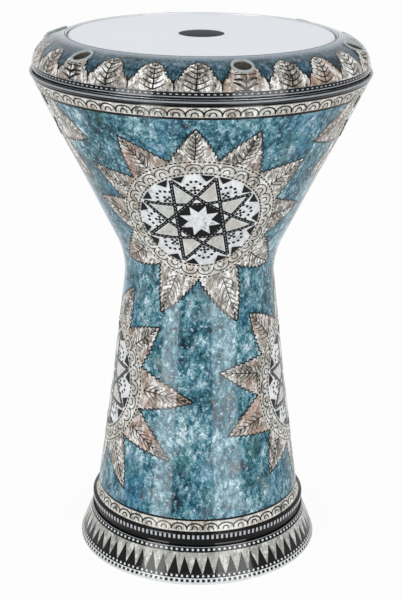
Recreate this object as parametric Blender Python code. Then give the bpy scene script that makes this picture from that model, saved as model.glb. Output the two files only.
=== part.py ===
"""Goblet drum with a cast shell, shell-mosaic inlay and a six-bolt tension collar.

Metres, +Z up. The origin is the centre of the foot's rest face, and +Z runs along
the drum's axis to the head. Round pieces are outlines of (radius, height) points
turned about that axis. The finished outside is one outline, and each inlay band is
a slice of it, so the casting under the bands follows the same values.
"""
import math

import bmesh
import bpy
from mathutils import Vector

# Overall sizes
HEIGHT = 0.432
FACETS = 36
TOUCH_GAP = 0.0003

# Foot, from the rest face upwards
FOOT_RADIUS = 0.1008
FOOT_EDGE_ROUND = 0.0016
FOOT_REST_WIDTH = 0.0070
FOOT_LIP_HEIGHT = 0.0024
CHECK_BAND_HEIGHT = 0.0034
LOWER_DOT_BAND_HEIGHT = 0.0030
TRIANGLE_BAND_HEIGHT = 0.0164
UPPER_DOT_BAND_HEIGHT = 0.0044
FOOT_CONE_TOP_RADIUS = 0.0902
COVE_HEIGHT = 0.0062
COVE_DEPTH = 0.0014
TOOTH_BEAD_HEIGHT = 0.0052
TOOTH_BEAD_RADIUS = 0.0900
TOOTH_BEAD_ROUND = 0.0006
FOOT_SCALLOP_HEIGHT = 0.0096
FOOT_FLARE = 0.0030

# Stem and bowl
STEM_FOOT_RADIUS = 0.0848
STEM_BOW = 0.0009
WAIST_HEIGHT = 0.2513
WAIST_CORNER_RADIUS = 0.0593
WAIST_FILLET = 0.067
WALL = 0.0050
RIM_SCALLOP_HEIGHT = 0.0098
RIM_SETOUT = 0.0008
STRIPE_BEAD_HEIGHT = 0.0042
STRIPE_BEAD_SWELL = 0.0014
FLANGE_THICKNESS = 0.0070

# Inlay set into the castings
INLAY_THICKNESS = 0.0012

# Neck and drumhead
NECK_RADIUS = 0.1036
NECK_WALL = 0.0042
BEARING_ROUND = 0.0016
HEAD_DROP = 0.0007
FILM_THICKNESS = 0.0005
FILM_SKIRT = 0.0180
HOOP_WIDTH = 0.0060
HOOP_HEIGHT = 0.0055
HOOP_OVERLAP = 0.0045
HOOP_ROUND = 0.0008

# Tension collar
COLLAR_GAP = 0.0008
COLLAR_HEIGHT = 0.0255
COLLAR_BORE_CLEARANCE = 0.0012
COLLAR_OVERHANG = 0.0115
COLLAR_LIP_WIDTH = 0.0024
COLLAR_LIP_CHAMFER = 0.0007
COLLAR_SLOPE_DEG = 18.0
COLLAR_SHOULDER_ROUND = 0.021
COLLAR_BELT_HEIGHT = 0.0046
COLLAR_REBATE_WALL = 0.0036
COLLAR_SKIRT_WALL = 0.0032
COLLAR_CHANNEL_DEPTH = 0.0075
HOOP_SIDE_CLEARANCE = 0.0004

# Tension bolts: M6 socket head screws
BOLT_COUNT = 6
BOLT_INSET = 0.0099
BOLT_FIRST_DEG = -76.0
BOLT_RADIUS = 0.0030
BOLT_LENGTH = 0.0200
BOLT_HEAD_RADIUS = 0.0050
BOLT_HEAD_HEIGHT = 0.0060
BOLT_CHAMFER = 0.0005
SOCKET_ACROSS_FLATS = 0.0050
SOCKET_DEPTH = 0.0030
BOLT_HOLE_CLEARANCE = 0.0003
WASHER_RADIUS = 0.0060
WASHER_THICKNESS = 0.0010
WELL_RADIUS = 0.0066
WELL_WALL = 0.0018
WELL_FLOOR = 0.0060
BOSS_PROUD = 0.0004
LUG_RADIUS = 0.0080
LUG_FLOOR = 0.0025
TAP_RUNOUT = 0.0015
BOLT_FACETS = 12

# Steps along the round stretches of the outlines
FILLET_STEPS = 5
STEM_STEPS = 3
SHOULDER_STEPS = 5
SMALL_STEPS = 3

# Levels worked out from the sizes
CHECK_BAND_BASE = FOOT_LIP_HEIGHT
LOWER_DOT_BASE = CHECK_BAND_BASE + CHECK_BAND_HEIGHT
TRIANGLE_BASE = LOWER_DOT_BASE + LOWER_DOT_BAND_HEIGHT
UPPER_DOT_BASE = TRIANGLE_BASE + TRIANGLE_BAND_HEIGHT
COVE_BASE = UPPER_DOT_BASE + UPPER_DOT_BAND_HEIGHT
TOOTH_BEAD_BASE = COVE_BASE + COVE_HEIGHT
FOOT_SCALLOP_BASE = TOOTH_BEAD_BASE + TOOTH_BEAD_HEIGHT
STEM_BASE = FOOT_SCALLOP_BASE + FOOT_SCALLOP_HEIGHT

COLLAR_BASE = HEIGHT - COLLAR_HEIGHT
FLANGE_TOP = COLLAR_BASE - COLLAR_GAP
STRIPE_BEAD_BASE = FLANGE_TOP - STRIPE_BEAD_HEIGHT
RIM_SCALLOP_BASE = STRIPE_BEAD_BASE - RIM_SCALLOP_HEIGHT
FILM_TOP = HEIGHT - HEAD_DROP
BEARING_TOP = FILM_TOP - FILM_THICKNESS - TOUCH_GAP
FILM_BOTTOM = FILM_TOP - FILM_SKIRT
HOOP_TOP = FILM_BOTTOM + HOOP_OVERLAP

# Radii and depths worked out from the sizes
INLAY_SEAT = INLAY_THICKNESS + TOUCH_GAP
FILM_RADIUS = NECK_RADIUS + TOUCH_GAP + FILM_THICKNESS
HOOP_INNER_RADIUS = FILM_RADIUS + TOUCH_GAP
HOOP_OUTER_RADIUS = HOOP_INNER_RADIUS + HOOP_WIDTH
COLLAR_BORE = FILM_RADIUS + COLLAR_BORE_CLEARANCE
REBATE_RADIUS = HOOP_OUTER_RADIUS + HOOP_SIDE_CLEARANCE
BOLT_CIRCLE_RADIUS = REBATE_RADIUS + BOLT_INSET
COLLAR_RADIUS = BOLT_CIRCLE_RADIUS + COLLAR_OVERHANG
RIM_RADIUS = COLLAR_RADIUS + RIM_SETOUT
BOSS_RADIUS = WELL_RADIUS + WELL_WALL
BOLT_HOLE_RADIUS = BOLT_RADIUS + BOLT_HOLE_CLEARANCE
BOLT_SEAT = WELL_FLOOR + TOUCH_GAP + WASHER_THICKNESS + TOUCH_GAP


def arc(centre, radius, start_deg, end_deg, steps):
    """Points along an arc, both ends included."""
    points = []
    for step in range(steps + 1):
        angle = math.radians(start_deg + (end_deg - start_deg) * step / steps)
        points.append((centre[0] + radius * math.cos(angle), centre[1] + radius * math.sin(angle)))
    return points


def fillet(before, corner, after, radius, steps):
    """The arc that rounds a corner between two straight runs."""
    corner = Vector(corner)
    back = (Vector(before) - corner).normalized()
    ahead = (Vector(after) - corner).normalized()
    half_angle = back.angle(ahead) / 2
    centre = corner + (back + ahead).normalized() * (radius / math.sin(half_angle))
    start = corner + back * (radius / math.tan(half_angle)) - centre
    sweep = math.pi - 2 * half_angle
    turn = 1 if start.x * ahead.y - start.y * ahead.x > 0 else -1
    points = []
    for step in range(steps + 1):
        angle = turn * sweep * step / steps
        cosine, sine = math.cos(angle), math.sin(angle)
        points.append((centre.x + start.x * cosine - start.y * sine,
                       centre.y + start.x * sine + start.y * cosine))
    return points


def bowed_run(start, end, bow, steps):
    """A run between two points that bows towards the axis by bow at its middle."""
    points = []
    for step in range(steps + 1):
        share = step / steps
        radius = start[0] + (end[0] - start[0]) * share - 4 * bow * share * (1 - share)
        points.append((radius, start[1] + (end[1] - start[1]) * share))
    return points


def between(outline, low, high):
    """The stretch of a rising outline between two heights."""
    def radius_at(height):
        for (r0, z0), (r1, z1) in zip(outline, outline[1:]):
            if z0 <= height <= z1 and z1 > z0:
                return r0 + (r1 - r0) * (height - z0) / (z1 - z0)
        return outline[0][0] if height < outline[0][1] else outline[-1][0]

    inner = [point for point in outline if low + TOUCH_GAP < point[1] < high - TOUCH_GAP]
    return [(radius_at(low), low)] + inner + [(radius_at(high), high)]


def inwards(points, depth):
    """The same stretch, nearer the axis."""
    return [(radius - depth, height) for radius, height in points]


def offset(points, distance):
    """A stretch moved square to itself, to its right as it runs."""
    moved = []
    for index, point in enumerate(points):
        here = Vector(point)
        ahead = (Vector(points[min(index + 1, len(points) - 1)]) - here)
        back = (here - Vector(points[max(index - 1, 0)]))
        if ahead.length == 0:
            ahead = back
        if back.length == 0:
            back = ahead
        along = (ahead.normalized() + back.normalized()).normalized()
        moved.append((here.x + along.y * distance, here.y - along.x * distance))
    return moved


def lowered(points, drop):
    """The same points in the frame of a carrier that stands drop higher."""
    return [(radius, height - drop) for radius, height in points]


def turned_mesh(name, outline, facets=FACETS):
    """A closed outline of (radius, height) points turned once about Z."""
    shape = bmesh.new()
    corners = [shape.verts.new((radius, 0.0, height)) for radius, height in outline]
    edges = [shape.edges.new(pair) for pair in zip(corners, corners[1:])]
    if outline[0][0] > 0 or outline[-1][0] > 0:
        edges.append(shape.edges.new((corners[-1], corners[0])))
    bmesh.ops.spin(shape, geom=corners + edges, cent=(0, 0, 0), axis=(0, 0, 1),
                   angle=math.tau, steps=facets, use_merge=True)
    bmesh.ops.remove_doubles(shape, verts=shape.verts, dist=1e-6)
    bmesh.ops.recalc_face_normals(shape, faces=shape.faces)
    mesh = bpy.data.meshes.new(name)
    shape.to_mesh(mesh)
    shape.free()
    return mesh


def smoothed(mesh, sharp_deg=35.0):
    """Round stretches shade smooth, and edges sharper than the angle stay crisp."""
    mesh.shade_smooth()
    mesh.set_sharp_from_angle(angle=math.radians(sharp_deg))
    return mesh


def material(name, colour, roughness, metallic=0.0):
    """A Principled material of one colour."""
    made = bpy.data.materials.new(name)
    made.use_nodes = True
    shader = made.node_tree.nodes["Principled BSDF"]
    shader.inputs["Base Color"].default_value = (*colour, 1.0)
    shader.inputs["Roughness"].default_value = roughness
    shader.inputs["Metallic"].default_value = metallic
    return made


def carrier(name, height, parent=None):
    """An empty that carries pieces which move together."""
    empty = bpy.data.objects.new(name, None)
    empty.location = (0, 0, height)
    empty.parent = parent
    bpy.context.scene.collection.objects.link(empty)
    return empty


def piece(name, mesh, parent, finish, location=(0, 0, 0)):
    """A named part of the drum with its own material."""
    made = bpy.data.objects.new(name, mesh)
    made.location = location
    made.parent = parent
    made.data.materials.clear()
    made.data.materials.append(finish)
    bpy.context.scene.collection.objects.link(made)
    return made


def cutter(name, mesh, parent):
    """A shape that only cuts or joins others."""
    made = bpy.data.objects.new(name, mesh)
    made.parent = parent
    made.hide_render = True
    made.display_type = "WIRE"
    bpy.context.scene.collection.objects.link(made)
    return made


def combine(target, tool, operation):
    """Add a Boolean modifier to a piece."""
    step = target.modifiers.new(tool.name, "BOOLEAN")
    step.operation = operation
    step.object = tool
    step.solver = "EXACT"


def bolt_places():
    """Where the bolt axes stand, counted from -Y towards +X."""
    places = []
    for index in range(BOLT_COUNT):
        angle = math.radians(BOLT_FIRST_DEG + 360.0 / BOLT_COUNT * index)
        places.append((BOLT_CIRCLE_RADIUS * math.cos(angle), BOLT_CIRCLE_RADIUS * math.sin(angle)))
    return places


def posts_mesh(name, radius, low, high, facets=BOLT_FACETS):
    """One upright cylinder on each bolt axis, in one mesh."""
    shape = bmesh.new()
    for x, y in bolt_places():
        made = bmesh.ops.create_cone(shape, cap_ends=True, cap_tris=False, segments=facets,
                                     radius1=radius, radius2=radius, depth=high - low)
        bmesh.ops.translate(shape, verts=made["verts"], vec=(x, y, (low + high) / 2))
    mesh = bpy.data.meshes.new(name)
    shape.to_mesh(mesh)
    shape.free()
    return mesh


def foot_cone_outline():
    """The finished outside of the foot, from the lip to the cove."""
    return [(FOOT_RADIUS, FOOT_LIP_HEIGHT), (FOOT_CONE_TOP_RADIUS, COVE_BASE)]


def cove_outline():
    """The black groove between the foot's cone and its toothed bead."""
    radius = FOOT_CONE_TOP_RADIUS - COVE_DEPTH
    return [(radius, COVE_BASE), (radius, TOOTH_BEAD_BASE)]


def body_outline():
    """The finished outside from the toothed bead to the rim: flare, stem, waist and bowl."""
    foot = (STEM_FOOT_RADIUS, STEM_BASE)
    corner = (WAIST_CORNER_RADIUS, WAIST_HEIGHT)
    rim = (RIM_RADIUS, STRIPE_BEAD_BASE)
    flare = []
    for step in range(SMALL_STEPS):
        share = step / SMALL_STEPS
        flare.append((STEM_FOOT_RADIUS + FOOT_FLARE * (1 - share) ** 2,
                      FOOT_SCALLOP_BASE + FOOT_SCALLOP_HEIGHT * share))
    waist = fillet(foot, corner, rim, WAIST_FILLET, FILLET_STEPS)
    return flare + bowed_run(foot, waist[0], STEM_BOW, STEM_STEPS) + waist[1:] + [rim]


def band(name, outline, low, high, finish, parent):
    """An inlay ring set into the casting between two heights."""
    face = between(outline, low + TOUCH_GAP / 2, high - TOUCH_GAP / 2)
    ring = face + inwards(face, INLAY_THICKNESS)[::-1]
    return piece(name, smoothed(turned_mesh(name, ring)), parent, finish)


def shell_outline():
    """The cast shell: foot, stem, bowl, flange and neck with its bearing edge."""
    edge_centre = (FOOT_RADIUS - FOOT_EDGE_ROUND, FOOT_EDGE_ROUND)
    outside = arc(edge_centre, FOOT_EDGE_ROUND, -90, 0, SMALL_STEPS)
    outside.append((FOOT_RADIUS, FOOT_LIP_HEIGHT - TOUCH_GAP / 2))
    cone = inwards(foot_cone_outline(), INLAY_SEAT)
    cone[0] = (cone[0][0], FOOT_LIP_HEIGHT - TOUCH_GAP / 2)
    outside += cone
    cove = inwards(cove_outline(), INLAY_SEAT)
    outside += cove
    bead = TOOTH_BEAD_RADIUS - INLAY_SEAT
    outside += [(bead, TOOTH_BEAD_BASE), (bead, FOOT_SCALLOP_BASE)]
    body = inwards(body_outline(), INLAY_SEAT)
    outside += body

    flange = [(body[-1][0], FLANGE_TOP), (NECK_RADIUS, FLANGE_TOP)]
    crown = arc((NECK_RADIUS - BEARING_ROUND, BEARING_TOP - BEARING_ROUND), BEARING_ROUND,
                0, 90, SMALL_STEPS)
    bore = NECK_RADIUS - NECK_WALL
    neck = crown + [(bore, BEARING_TOP - BEARING_ROUND / 2), (bore, FLANGE_TOP - FLANGE_THICKNESS)]

    inside = inwards(body_outline(), INLAY_SEAT + WALL)
    ceiling = FLANGE_TOP - FLANGE_THICKNESS
    stem_inside = between(inside, STEM_BASE, ceiling)
    mouth = (FOOT_RADIUS - FOOT_EDGE_ROUND - FOOT_REST_WIDTH, 0.0)
    return outside + flange + neck + stem_inside[::-1] + [mouth]


def make_shell(drum):
    """The casting, with a tapped lug under the flange for each bolt."""
    finish = material("cast_aluminium", (0.62, 0.63, 0.64), 0.38, 1.0)
    shell = piece("shell_casting", turned_mesh("shell_casting", shell_outline()), drum, finish)
    lug_top = FLANGE_TOP - FLANGE_THICKNESS / 2
    hole_low = COLLAR_BASE + BOLT_SEAT - BOLT_LENGTH - TAP_RUNOUT
    lug_low = hole_low - LUG_FLOOR
    skin = between(inwards(body_outline(), INLAY_SEAT + WALL / 2), lug_low, lug_top)
    trim = cutter("lug_trim", turned_mesh("lug_trim", skin + [(NECK_RADIUS, lug_top),
                                                              (NECK_RADIUS, lug_low)]), drum)
    lugs = cutter("lug_posts", posts_mesh("lug_posts", LUG_RADIUS, lug_low - WALL, lug_top + WALL),
                  drum)
    holes = cutter("tapped_holes", posts_mesh("tapped_holes", BOLT_HOLE_RADIUS,
                                              hole_low, FLANGE_TOP + WALL), drum)
    combine(lugs, trim, "INTERSECT")
    combine(shell, lugs, "UNION")
    combine(shell, holes, "DIFFERENCE")
    smoothed(shell.data)


def make_foot_inlay(drum):
    """The bands round the foot, from the lip up to the scallops."""
    pearl = (0.74, 0.73, 0.70)
    black = (0.02, 0.02, 0.025)
    cone = foot_cone_outline()
    band("foot_check_inlay", cone, CHECK_BAND_BASE, LOWER_DOT_BASE,
         material("foot_checks", (0.80, 0.80, 0.80), 0.25), drum)
    band("foot_lower_dot_inlay", cone, LOWER_DOT_BASE, TRIANGLE_BASE,
         material("foot_lower_dots", black, 0.2), drum)
    band("foot_triangle_inlay", cone, TRIANGLE_BASE, UPPER_DOT_BASE,
         material("foot_triangles", pearl, 0.25), drum)
    band("foot_upper_dot_inlay", cone, UPPER_DOT_BASE, COVE_BASE,
         material("foot_upper_dots", black, 0.2), drum)
    band("foot_cove_inlay", cove_outline(), COVE_BASE, TOOTH_BEAD_BASE,
         material("foot_cove", black, 0.2), drum)

    low = TOOTH_BEAD_BASE + TOUCH_GAP / 2
    high = FOOT_SCALLOP_BASE - TOUCH_GAP / 2
    inner = TOOTH_BEAD_RADIUS - INLAY_THICKNESS
    bead = [(inner, low), (TOOTH_BEAD_RADIUS - TOOTH_BEAD_ROUND, low),
            (TOOTH_BEAD_RADIUS, low + TOOTH_BEAD_ROUND), (TOOTH_BEAD_RADIUS, high - TOOTH_BEAD_ROUND),
            (TOOTH_BEAD_RADIUS - TOOTH_BEAD_ROUND, high), (inner, high)]
    piece("foot_tooth_bead", smoothed(turned_mesh("foot_tooth_bead", bead)), drum,
          material("foot_teeth", (0.30, 0.30, 0.31), 0.25))
    band("foot_scallop_inlay", body_outline(), FOOT_SCALLOP_BASE, STEM_BASE,
         material("foot_scallops", (0.72, 0.68, 0.62), 0.25), drum)


def make_body_inlay(drum):
    """The mosaic over stem and bowl, the scallops under the rim and the striped bead."""
    body = body_outline()
    band("stem_bowl_inlay", body, STEM_BASE, RIM_SCALLOP_BASE,
         material("teal_mosaic", (0.09, 0.24, 0.29), 0.22), drum)
    band("rim_scallop_inlay", body, RIM_SCALLOP_BASE, STRIPE_BEAD_BASE,
         material("rim_scallops", (0.72, 0.68, 0.62), 0.25), drum)

    low = STRIPE_BEAD_BASE + TOUCH_GAP / 2
    high = FLANGE_TOP - TOUCH_GAP / 2
    inner = RIM_RADIUS - INLAY_THICKNESS
    swell = []
    for step in range(SMALL_STEPS + 1):
        share = step / SMALL_STEPS
        swell.append((RIM_RADIUS + STRIPE_BEAD_SWELL * math.sin(math.pi * share),
                      low + (high - low) * share))
    bead = swell + [(inner, high), (inner, low)]
    piece("rim_stripe_bead", smoothed(turned_mesh("rim_stripe_bead", bead)), drum,
          material("rim_stripes", (0.35, 0.35, 0.36), 0.2))


def make_head(drum):
    """The clear-coated film, folded over the bearing edge, and the hoop bonded round its skirt."""
    round_outside = BEARING_ROUND + TOUCH_GAP + FILM_THICKNESS
    round_inside = BEARING_ROUND + TOUCH_GAP
    centre = (FILM_RADIUS - round_outside, FILM_TOP - round_outside)
    film_inside = FILM_RADIUS - FILM_THICKNESS
    outline = [(0.0, FILM_TOP)]
    outline += arc(centre, round_outside, 90, 0, SMALL_STEPS)
    outline += [(FILM_RADIUS, FILM_BOTTOM), (film_inside, FILM_BOTTOM)]
    outline += arc(centre, round_inside, 0, 90, SMALL_STEPS)
    outline += [(0.0, FILM_TOP - FILM_THICKNESS)]
    piece("drumhead_film", smoothed(turned_mesh("drumhead_film", outline)), drum,
          material("milk_white_film", (0.80, 0.82, 0.84), 0.3))

    low = HOOP_TOP - HOOP_HEIGHT
    hoop = [(HOOP_INNER_RADIUS, low), (HOOP_OUTER_RADIUS, low),
            (HOOP_OUTER_RADIUS, HOOP_TOP - HOOP_ROUND), (HOOP_OUTER_RADIUS - HOOP_ROUND, HOOP_TOP),
            (HOOP_INNER_RADIUS, HOOP_TOP)]
    piece("flesh_hoop", smoothed(turned_mesh("flesh_hoop", hoop)), drum,
          material("hoop_aluminium", (0.60, 0.60, 0.61), 0.35, 1.0))


def collar_face():
    """The finished outside of the collar, from its crest lip down to its lower edge."""
    crest = (COLLAR_BORE + COLLAR_LIP_CHAMFER, HEIGHT)
    run = COLLAR_RADIUS - crest[0]
    corner = (COLLAR_RADIUS, HEIGHT - run * math.tan(math.radians(COLLAR_SLOPE_DEG)))
    foot = (COLLAR_RADIUS, COLLAR_BASE)
    shoulder = fillet(crest, corner, foot, COLLAR_SHOULDER_ROUND, SHOULDER_STEPS)
    if shoulder[-1][1] <= COLLAR_BASE + COLLAR_BELT_HEIGHT:
        shoulder = [point for point in shoulder if point[1] > COLLAR_BASE + COLLAR_BELT_HEIGHT]
    return [crest] + shoulder + [foot]


def point_at_radius(face, radius):
    """The point of a falling outline at one radius."""
    for (r0, z0), (r1, z1) in zip(face, face[1:]):
        if r0 <= radius <= r1 and r1 > r0:
            return (radius, z0 + (z1 - z0) * (radius - r0) / (r1 - r0))
    return face[-1]


def leaf_stretch(margin=0.0):
    """The part of the collar's outside that the leaf inlay covers, and a margin at its lip."""
    face = collar_face()
    start = point_at_radius(face, COLLAR_BORE + COLLAR_LIP_WIDTH - margin)
    belt_top = COLLAR_BASE + COLLAR_BELT_HEIGHT
    return between(face[::-1], belt_top, start[1])[::-1]


def collar_outline():
    """The collar casting: lip, seat for its inlay, skirt, channel, hoop rebate and bore."""
    leaf = leaf_stretch(TOUCH_GAP)
    seat = offset(leaf, INLAY_SEAT)
    seat_radius = COLLAR_RADIUS - INLAY_SEAT
    lip = [(COLLAR_BORE, HEIGHT - COLLAR_LIP_CHAMFER), (COLLAR_BORE + COLLAR_LIP_CHAMFER, HEIGHT),
           leaf[0]]
    channel_out = seat_radius - COLLAR_SKIRT_WALL
    channel_in = REBATE_RADIUS + COLLAR_REBATE_WALL
    channel_top = COLLAR_BASE + COLLAR_CHANNEL_DEPTH
    rebate_top = HOOP_TOP + TOUCH_GAP
    below = [(seat_radius, COLLAR_BASE), (channel_out, COLLAR_BASE), (channel_out, channel_top),
             (channel_in, channel_top), (channel_in, COLLAR_BASE), (REBATE_RADIUS, COLLAR_BASE),
             (REBATE_RADIUS, rebate_top), (COLLAR_BORE, rebate_top)]
    return lowered(lip + seat + below, COLLAR_BASE)


def proud_outline():
    """A ring just over the collar's finished surface, which trims the tops of the bosses."""
    face = offset(collar_face(), -BOSS_PROUD)
    inner = REBATE_RADIUS
    face = [(inner, point_at_radius(face, inner)[1])] + [point for point in face if point[0] > inner]
    ring = face[:-1] + [(face[-1][0], COLLAR_BASE), (inner, COLLAR_BASE)]
    return lowered(ring, COLLAR_BASE)


def make_collar(collar):
    """The collar casting, with a lipped well for each bolt, and its two inlay rings."""
    above = COLLAR_HEIGHT + BOSS_RADIUS
    proud = cutter("boss_trim", turned_mesh("boss_trim", proud_outline()), collar)
    bosses = cutter("boss_posts", posts_mesh("boss_posts", BOSS_RADIUS, 0.0, above), collar)
    wells = cutter("well_posts", posts_mesh("well_posts", WELL_RADIUS, WELL_FLOOR, above), collar)
    holes = cutter("bolt_holes", posts_mesh("bolt_holes", BOLT_HOLE_RADIUS, -WELL_FLOOR,
                                            WELL_FLOOR + TOUCH_GAP), collar)
    openings = cutter("inlay_holes", posts_mesh("inlay_holes", BOSS_RADIUS + TOUCH_GAP,
                                                0.0, above), collar)
    combine(bosses, proud, "INTERSECT")

    casting = piece("collar_casting", smoothed(turned_mesh("collar_casting", collar_outline())),
                    collar, material("collar_aluminium", (0.62, 0.63, 0.64), 0.34, 1.0))
    combine(casting, bosses, "UNION")
    combine(casting, wells, "DIFFERENCE")
    combine(casting, holes, "DIFFERENCE")

    leaf = leaf_stretch()
    leaf_ring = lowered(leaf + offset(leaf, INLAY_THICKNESS)[::-1], COLLAR_BASE)
    inlay = piece("collar_leaf_inlay", smoothed(turned_mesh("collar_leaf_inlay", leaf_ring)),
                  collar, material("leaf_mosaic", (0.40, 0.38, 0.36), 0.22))
    combine(inlay, openings, "DIFFERENCE")

    inner = COLLAR_RADIUS - INLAY_THICKNESS
    top = COLLAR_BELT_HEIGHT - TOUCH_GAP
    belt = [(inner, TOUCH_GAP), (COLLAR_RADIUS, TOUCH_GAP), (COLLAR_RADIUS, top), (inner, top)]
    piece("collar_belt_inlay", smoothed(turned_mesh("collar_belt_inlay", belt)), collar,
          material("black_belt", (0.02, 0.02, 0.025), 0.2))


def washer_mesh():
    """A flat washer, its lower face at its origin."""
    hole = BOLT_HOLE_RADIUS
    ring = [(hole, 0.0), (WASHER_RADIUS, 0.0), (WASHER_RADIUS, WASHER_THICKNESS),
            (hole, WASHER_THICKNESS)]
    return smoothed(turned_mesh("washer", ring, BOLT_FACETS))


def bolt_mesh():
    """A socket head screw, with its origin where the head meets the shank."""
    chamfer = BOLT_CHAMFER
    top = BOLT_HEAD_HEIGHT
    outline = [(0.0, top), (BOLT_HEAD_RADIUS - chamfer, top), (BOLT_HEAD_RADIUS, top - chamfer),
               (BOLT_HEAD_RADIUS, 0.0), (BOLT_RADIUS, 0.0), (BOLT_RADIUS, chamfer - BOLT_LENGTH),
               (BOLT_RADIUS - chamfer, -BOLT_LENGTH), (0.0, -BOLT_LENGTH)]
    blank = bpy.data.objects.new("bolt_blank", turned_mesh("bolt_blank", outline, BOLT_FACETS))
    bpy.context.scene.collection.objects.link(blank)

    shape = bmesh.new()
    made = bmesh.ops.create_cone(shape, cap_ends=True, cap_tris=False, segments=6,
                                 radius1=SOCKET_ACROSS_FLATS / math.sqrt(3),
                                 radius2=SOCKET_ACROSS_FLATS / math.sqrt(3),
                                 depth=2 * SOCKET_DEPTH)
    bmesh.ops.translate(shape, verts=made["verts"], vec=(0, 0, top))
    socket_mesh = bpy.data.meshes.new("hex_socket")
    shape.to_mesh(socket_mesh)
    shape.free()
    socket = cutter("hex_socket", socket_mesh, None)
    combine(blank, socket, "DIFFERENCE")
    depsgraph = bpy.context.evaluated_depsgraph_get()
    mesh = bpy.data.meshes.new_from_object(blank.evaluated_get(depsgraph))
    mesh.name = "socket_head_screw"
    bpy.data.objects.remove(blank)
    bpy.data.objects.remove(socket)
    return smoothed(mesh)


def make_bolts(collar):
    """Six bolts and washers in the collar's wells, each with its origin on its own axis."""
    bolt = bolt_mesh()
    washer = washer_mesh()
    for index, (x, y) in enumerate(bolt_places(), start=1):
        steel = material("bolt_steel_%d" % index, (0.45, 0.45, 0.47), 0.3, 1.0)
        zinc = material("washer_steel_%d" % index, (0.52, 0.52, 0.54), 0.35, 1.0)
        piece("washer_%d" % index, washer.copy(), collar, zinc, (x, y, WELL_FLOOR + TOUCH_GAP))
        piece("bolt_%d" % index, bolt.copy(), collar, steel, (x, y, BOLT_SEAT))


def main():
    for old in list(bpy.data.objects):
        bpy.data.objects.remove(old)
    drum = carrier("drum", 0.0)
    make_shell(drum)
    make_foot_inlay(drum)
    make_body_inlay(drum)
    make_head(drum)
    collar = carrier("collar_slide", COLLAR_BASE, drum)
    make_collar(collar)
    make_bolts(collar)


main()
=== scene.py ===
"""Dresses the goblet drum: shell-mosaic inlay, cast shell, film head and six-bolt tension collar.

Sizes are in millimetres and turn into metres where a mesh gets its place. A turned piece is an
outline of (radius, height) points spun about the drum's axis. A pattern is drawn flat, with x to
the right and y up, and then laid on the turned outside that carries it. Azimuths are in degrees
from the front, -Y, towards +X.
"""
import math
import random

import bpy
from mathutils import Matrix, Vector


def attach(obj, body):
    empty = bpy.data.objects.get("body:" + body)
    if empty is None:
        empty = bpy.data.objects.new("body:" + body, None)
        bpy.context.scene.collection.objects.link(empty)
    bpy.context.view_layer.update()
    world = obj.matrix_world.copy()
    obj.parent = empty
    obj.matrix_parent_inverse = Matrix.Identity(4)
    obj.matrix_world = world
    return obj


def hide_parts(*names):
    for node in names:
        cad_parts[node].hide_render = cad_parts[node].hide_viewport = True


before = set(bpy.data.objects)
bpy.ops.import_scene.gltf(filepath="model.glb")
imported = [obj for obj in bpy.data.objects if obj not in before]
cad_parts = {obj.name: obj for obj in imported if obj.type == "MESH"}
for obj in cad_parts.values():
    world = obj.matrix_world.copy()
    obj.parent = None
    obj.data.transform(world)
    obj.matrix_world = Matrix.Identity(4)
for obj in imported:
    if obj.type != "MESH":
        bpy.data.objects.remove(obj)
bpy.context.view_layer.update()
bpy.ops.object.select_all(action="DESELECT")

MM = 0.001
DRUM = "drum_shell"
COLLAR = "tension_collar"
ROUND = 192

# Heights and radii of the turned parts, as in the solids
HEIGHT = 432.0
FOOT_RADIUS = 100.8
CONE_TOP_RADIUS = 90.2
CHECK_BASE, LOWER_DOT_BASE, TRIANGLE_BASE, UPPER_DOT_BASE = 2.4, 5.8, 8.8, 25.2
COVE_BASE, BEAD_BASE, SCALLOP_BASE, STEM_BASE = 29.6, 35.8, 41.0, 50.6
COVE_RADIUS, BEAD_RADIUS = 88.8, 90.0
STEM_FOOT = (84.8, STEM_BASE)
WAIST_CORNER = (59.3, 251.3)
RIM_SCALLOP_BASE, STRIPE_BASE, FLANGE_TOP = 391.7, 401.5, 405.7
RIM_RADIUS = 133.3
COLLAR_BASE, COLLAR_RADIUS, COLLAR_BORE = 406.5, 132.5, 105.6
BELT_TOP = 411.1
FILM_TOP, FILM_RADIUS, FILM_BOTTOM = 431.3, 104.4, 413.3
HOOP_INNER, HOOP_OUTER, HOOP_BOTTOM, HOOP_TOP = 104.7, 110.7, 412.3, 417.8
NECK_RADIUS, NECK_BORE, NECK_TOP = 103.6, 99.4, 430.5
INLAY = 1.2
SEAT = 1.5
WALL = 5.0
TOUCH = 0.3
GAP = 0.15
REBATE_RADIUS = 111.1
MOSAIC_TOP = COLLAR_BORE + 1.4
BEARING_ROUND, FILM_THICKNESS = 1.6, 0.5
PATCH_RADIUS = 18.0

# The bolts and their wells
BOLT_CIRCLE = 121.0
BOLT_AZIMUTHS = [14.0 + 60.0 * index for index in range(6)]
WELL_RADIUS, BOSS_RADIUS, HOLE_RADIUS = 6.6, 8.4, 3.3
WELL_FLOOR, WASHER_BASE, BOLT_SEAT = 412.5, 412.8, 414.1
BOLT_LENGTH, BOLT_HEAD = 20.0, 6.0
LIP_TOP, LIP_LEAN, LIP_FOOT, LIP_STAND = 427.4, 20.0, 415.0, 0.4
SWELL_REACH, SWELL_EDGE, SWELL_FOOT = 14.0, 5.0, 7.0

# What is counted round the drum
CHECKS, LOWER_DOTS, UPPER_DOTS, TEETH, TRIANGLES = 144, 144, 131, 144, 64
FOOT_SCALLOPS, RIM_SCALLOPS, BELT_DASHES, COLLAR_LEAVES = 42, 62, 186, 24
LOWER_ROW_RADIUS, UPPER_ROW_RADIUS = 99.6, 91.2

# How far the layers of the flat pattern stand out from the surface
TILE, RING_TILE, DISC, SMALL_TILE, LINE, TOP_TILE = 0.06, 0.12, 0.18, 0.24, 0.30, 0.36
SHEET_DEPTH = 0.3


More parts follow.
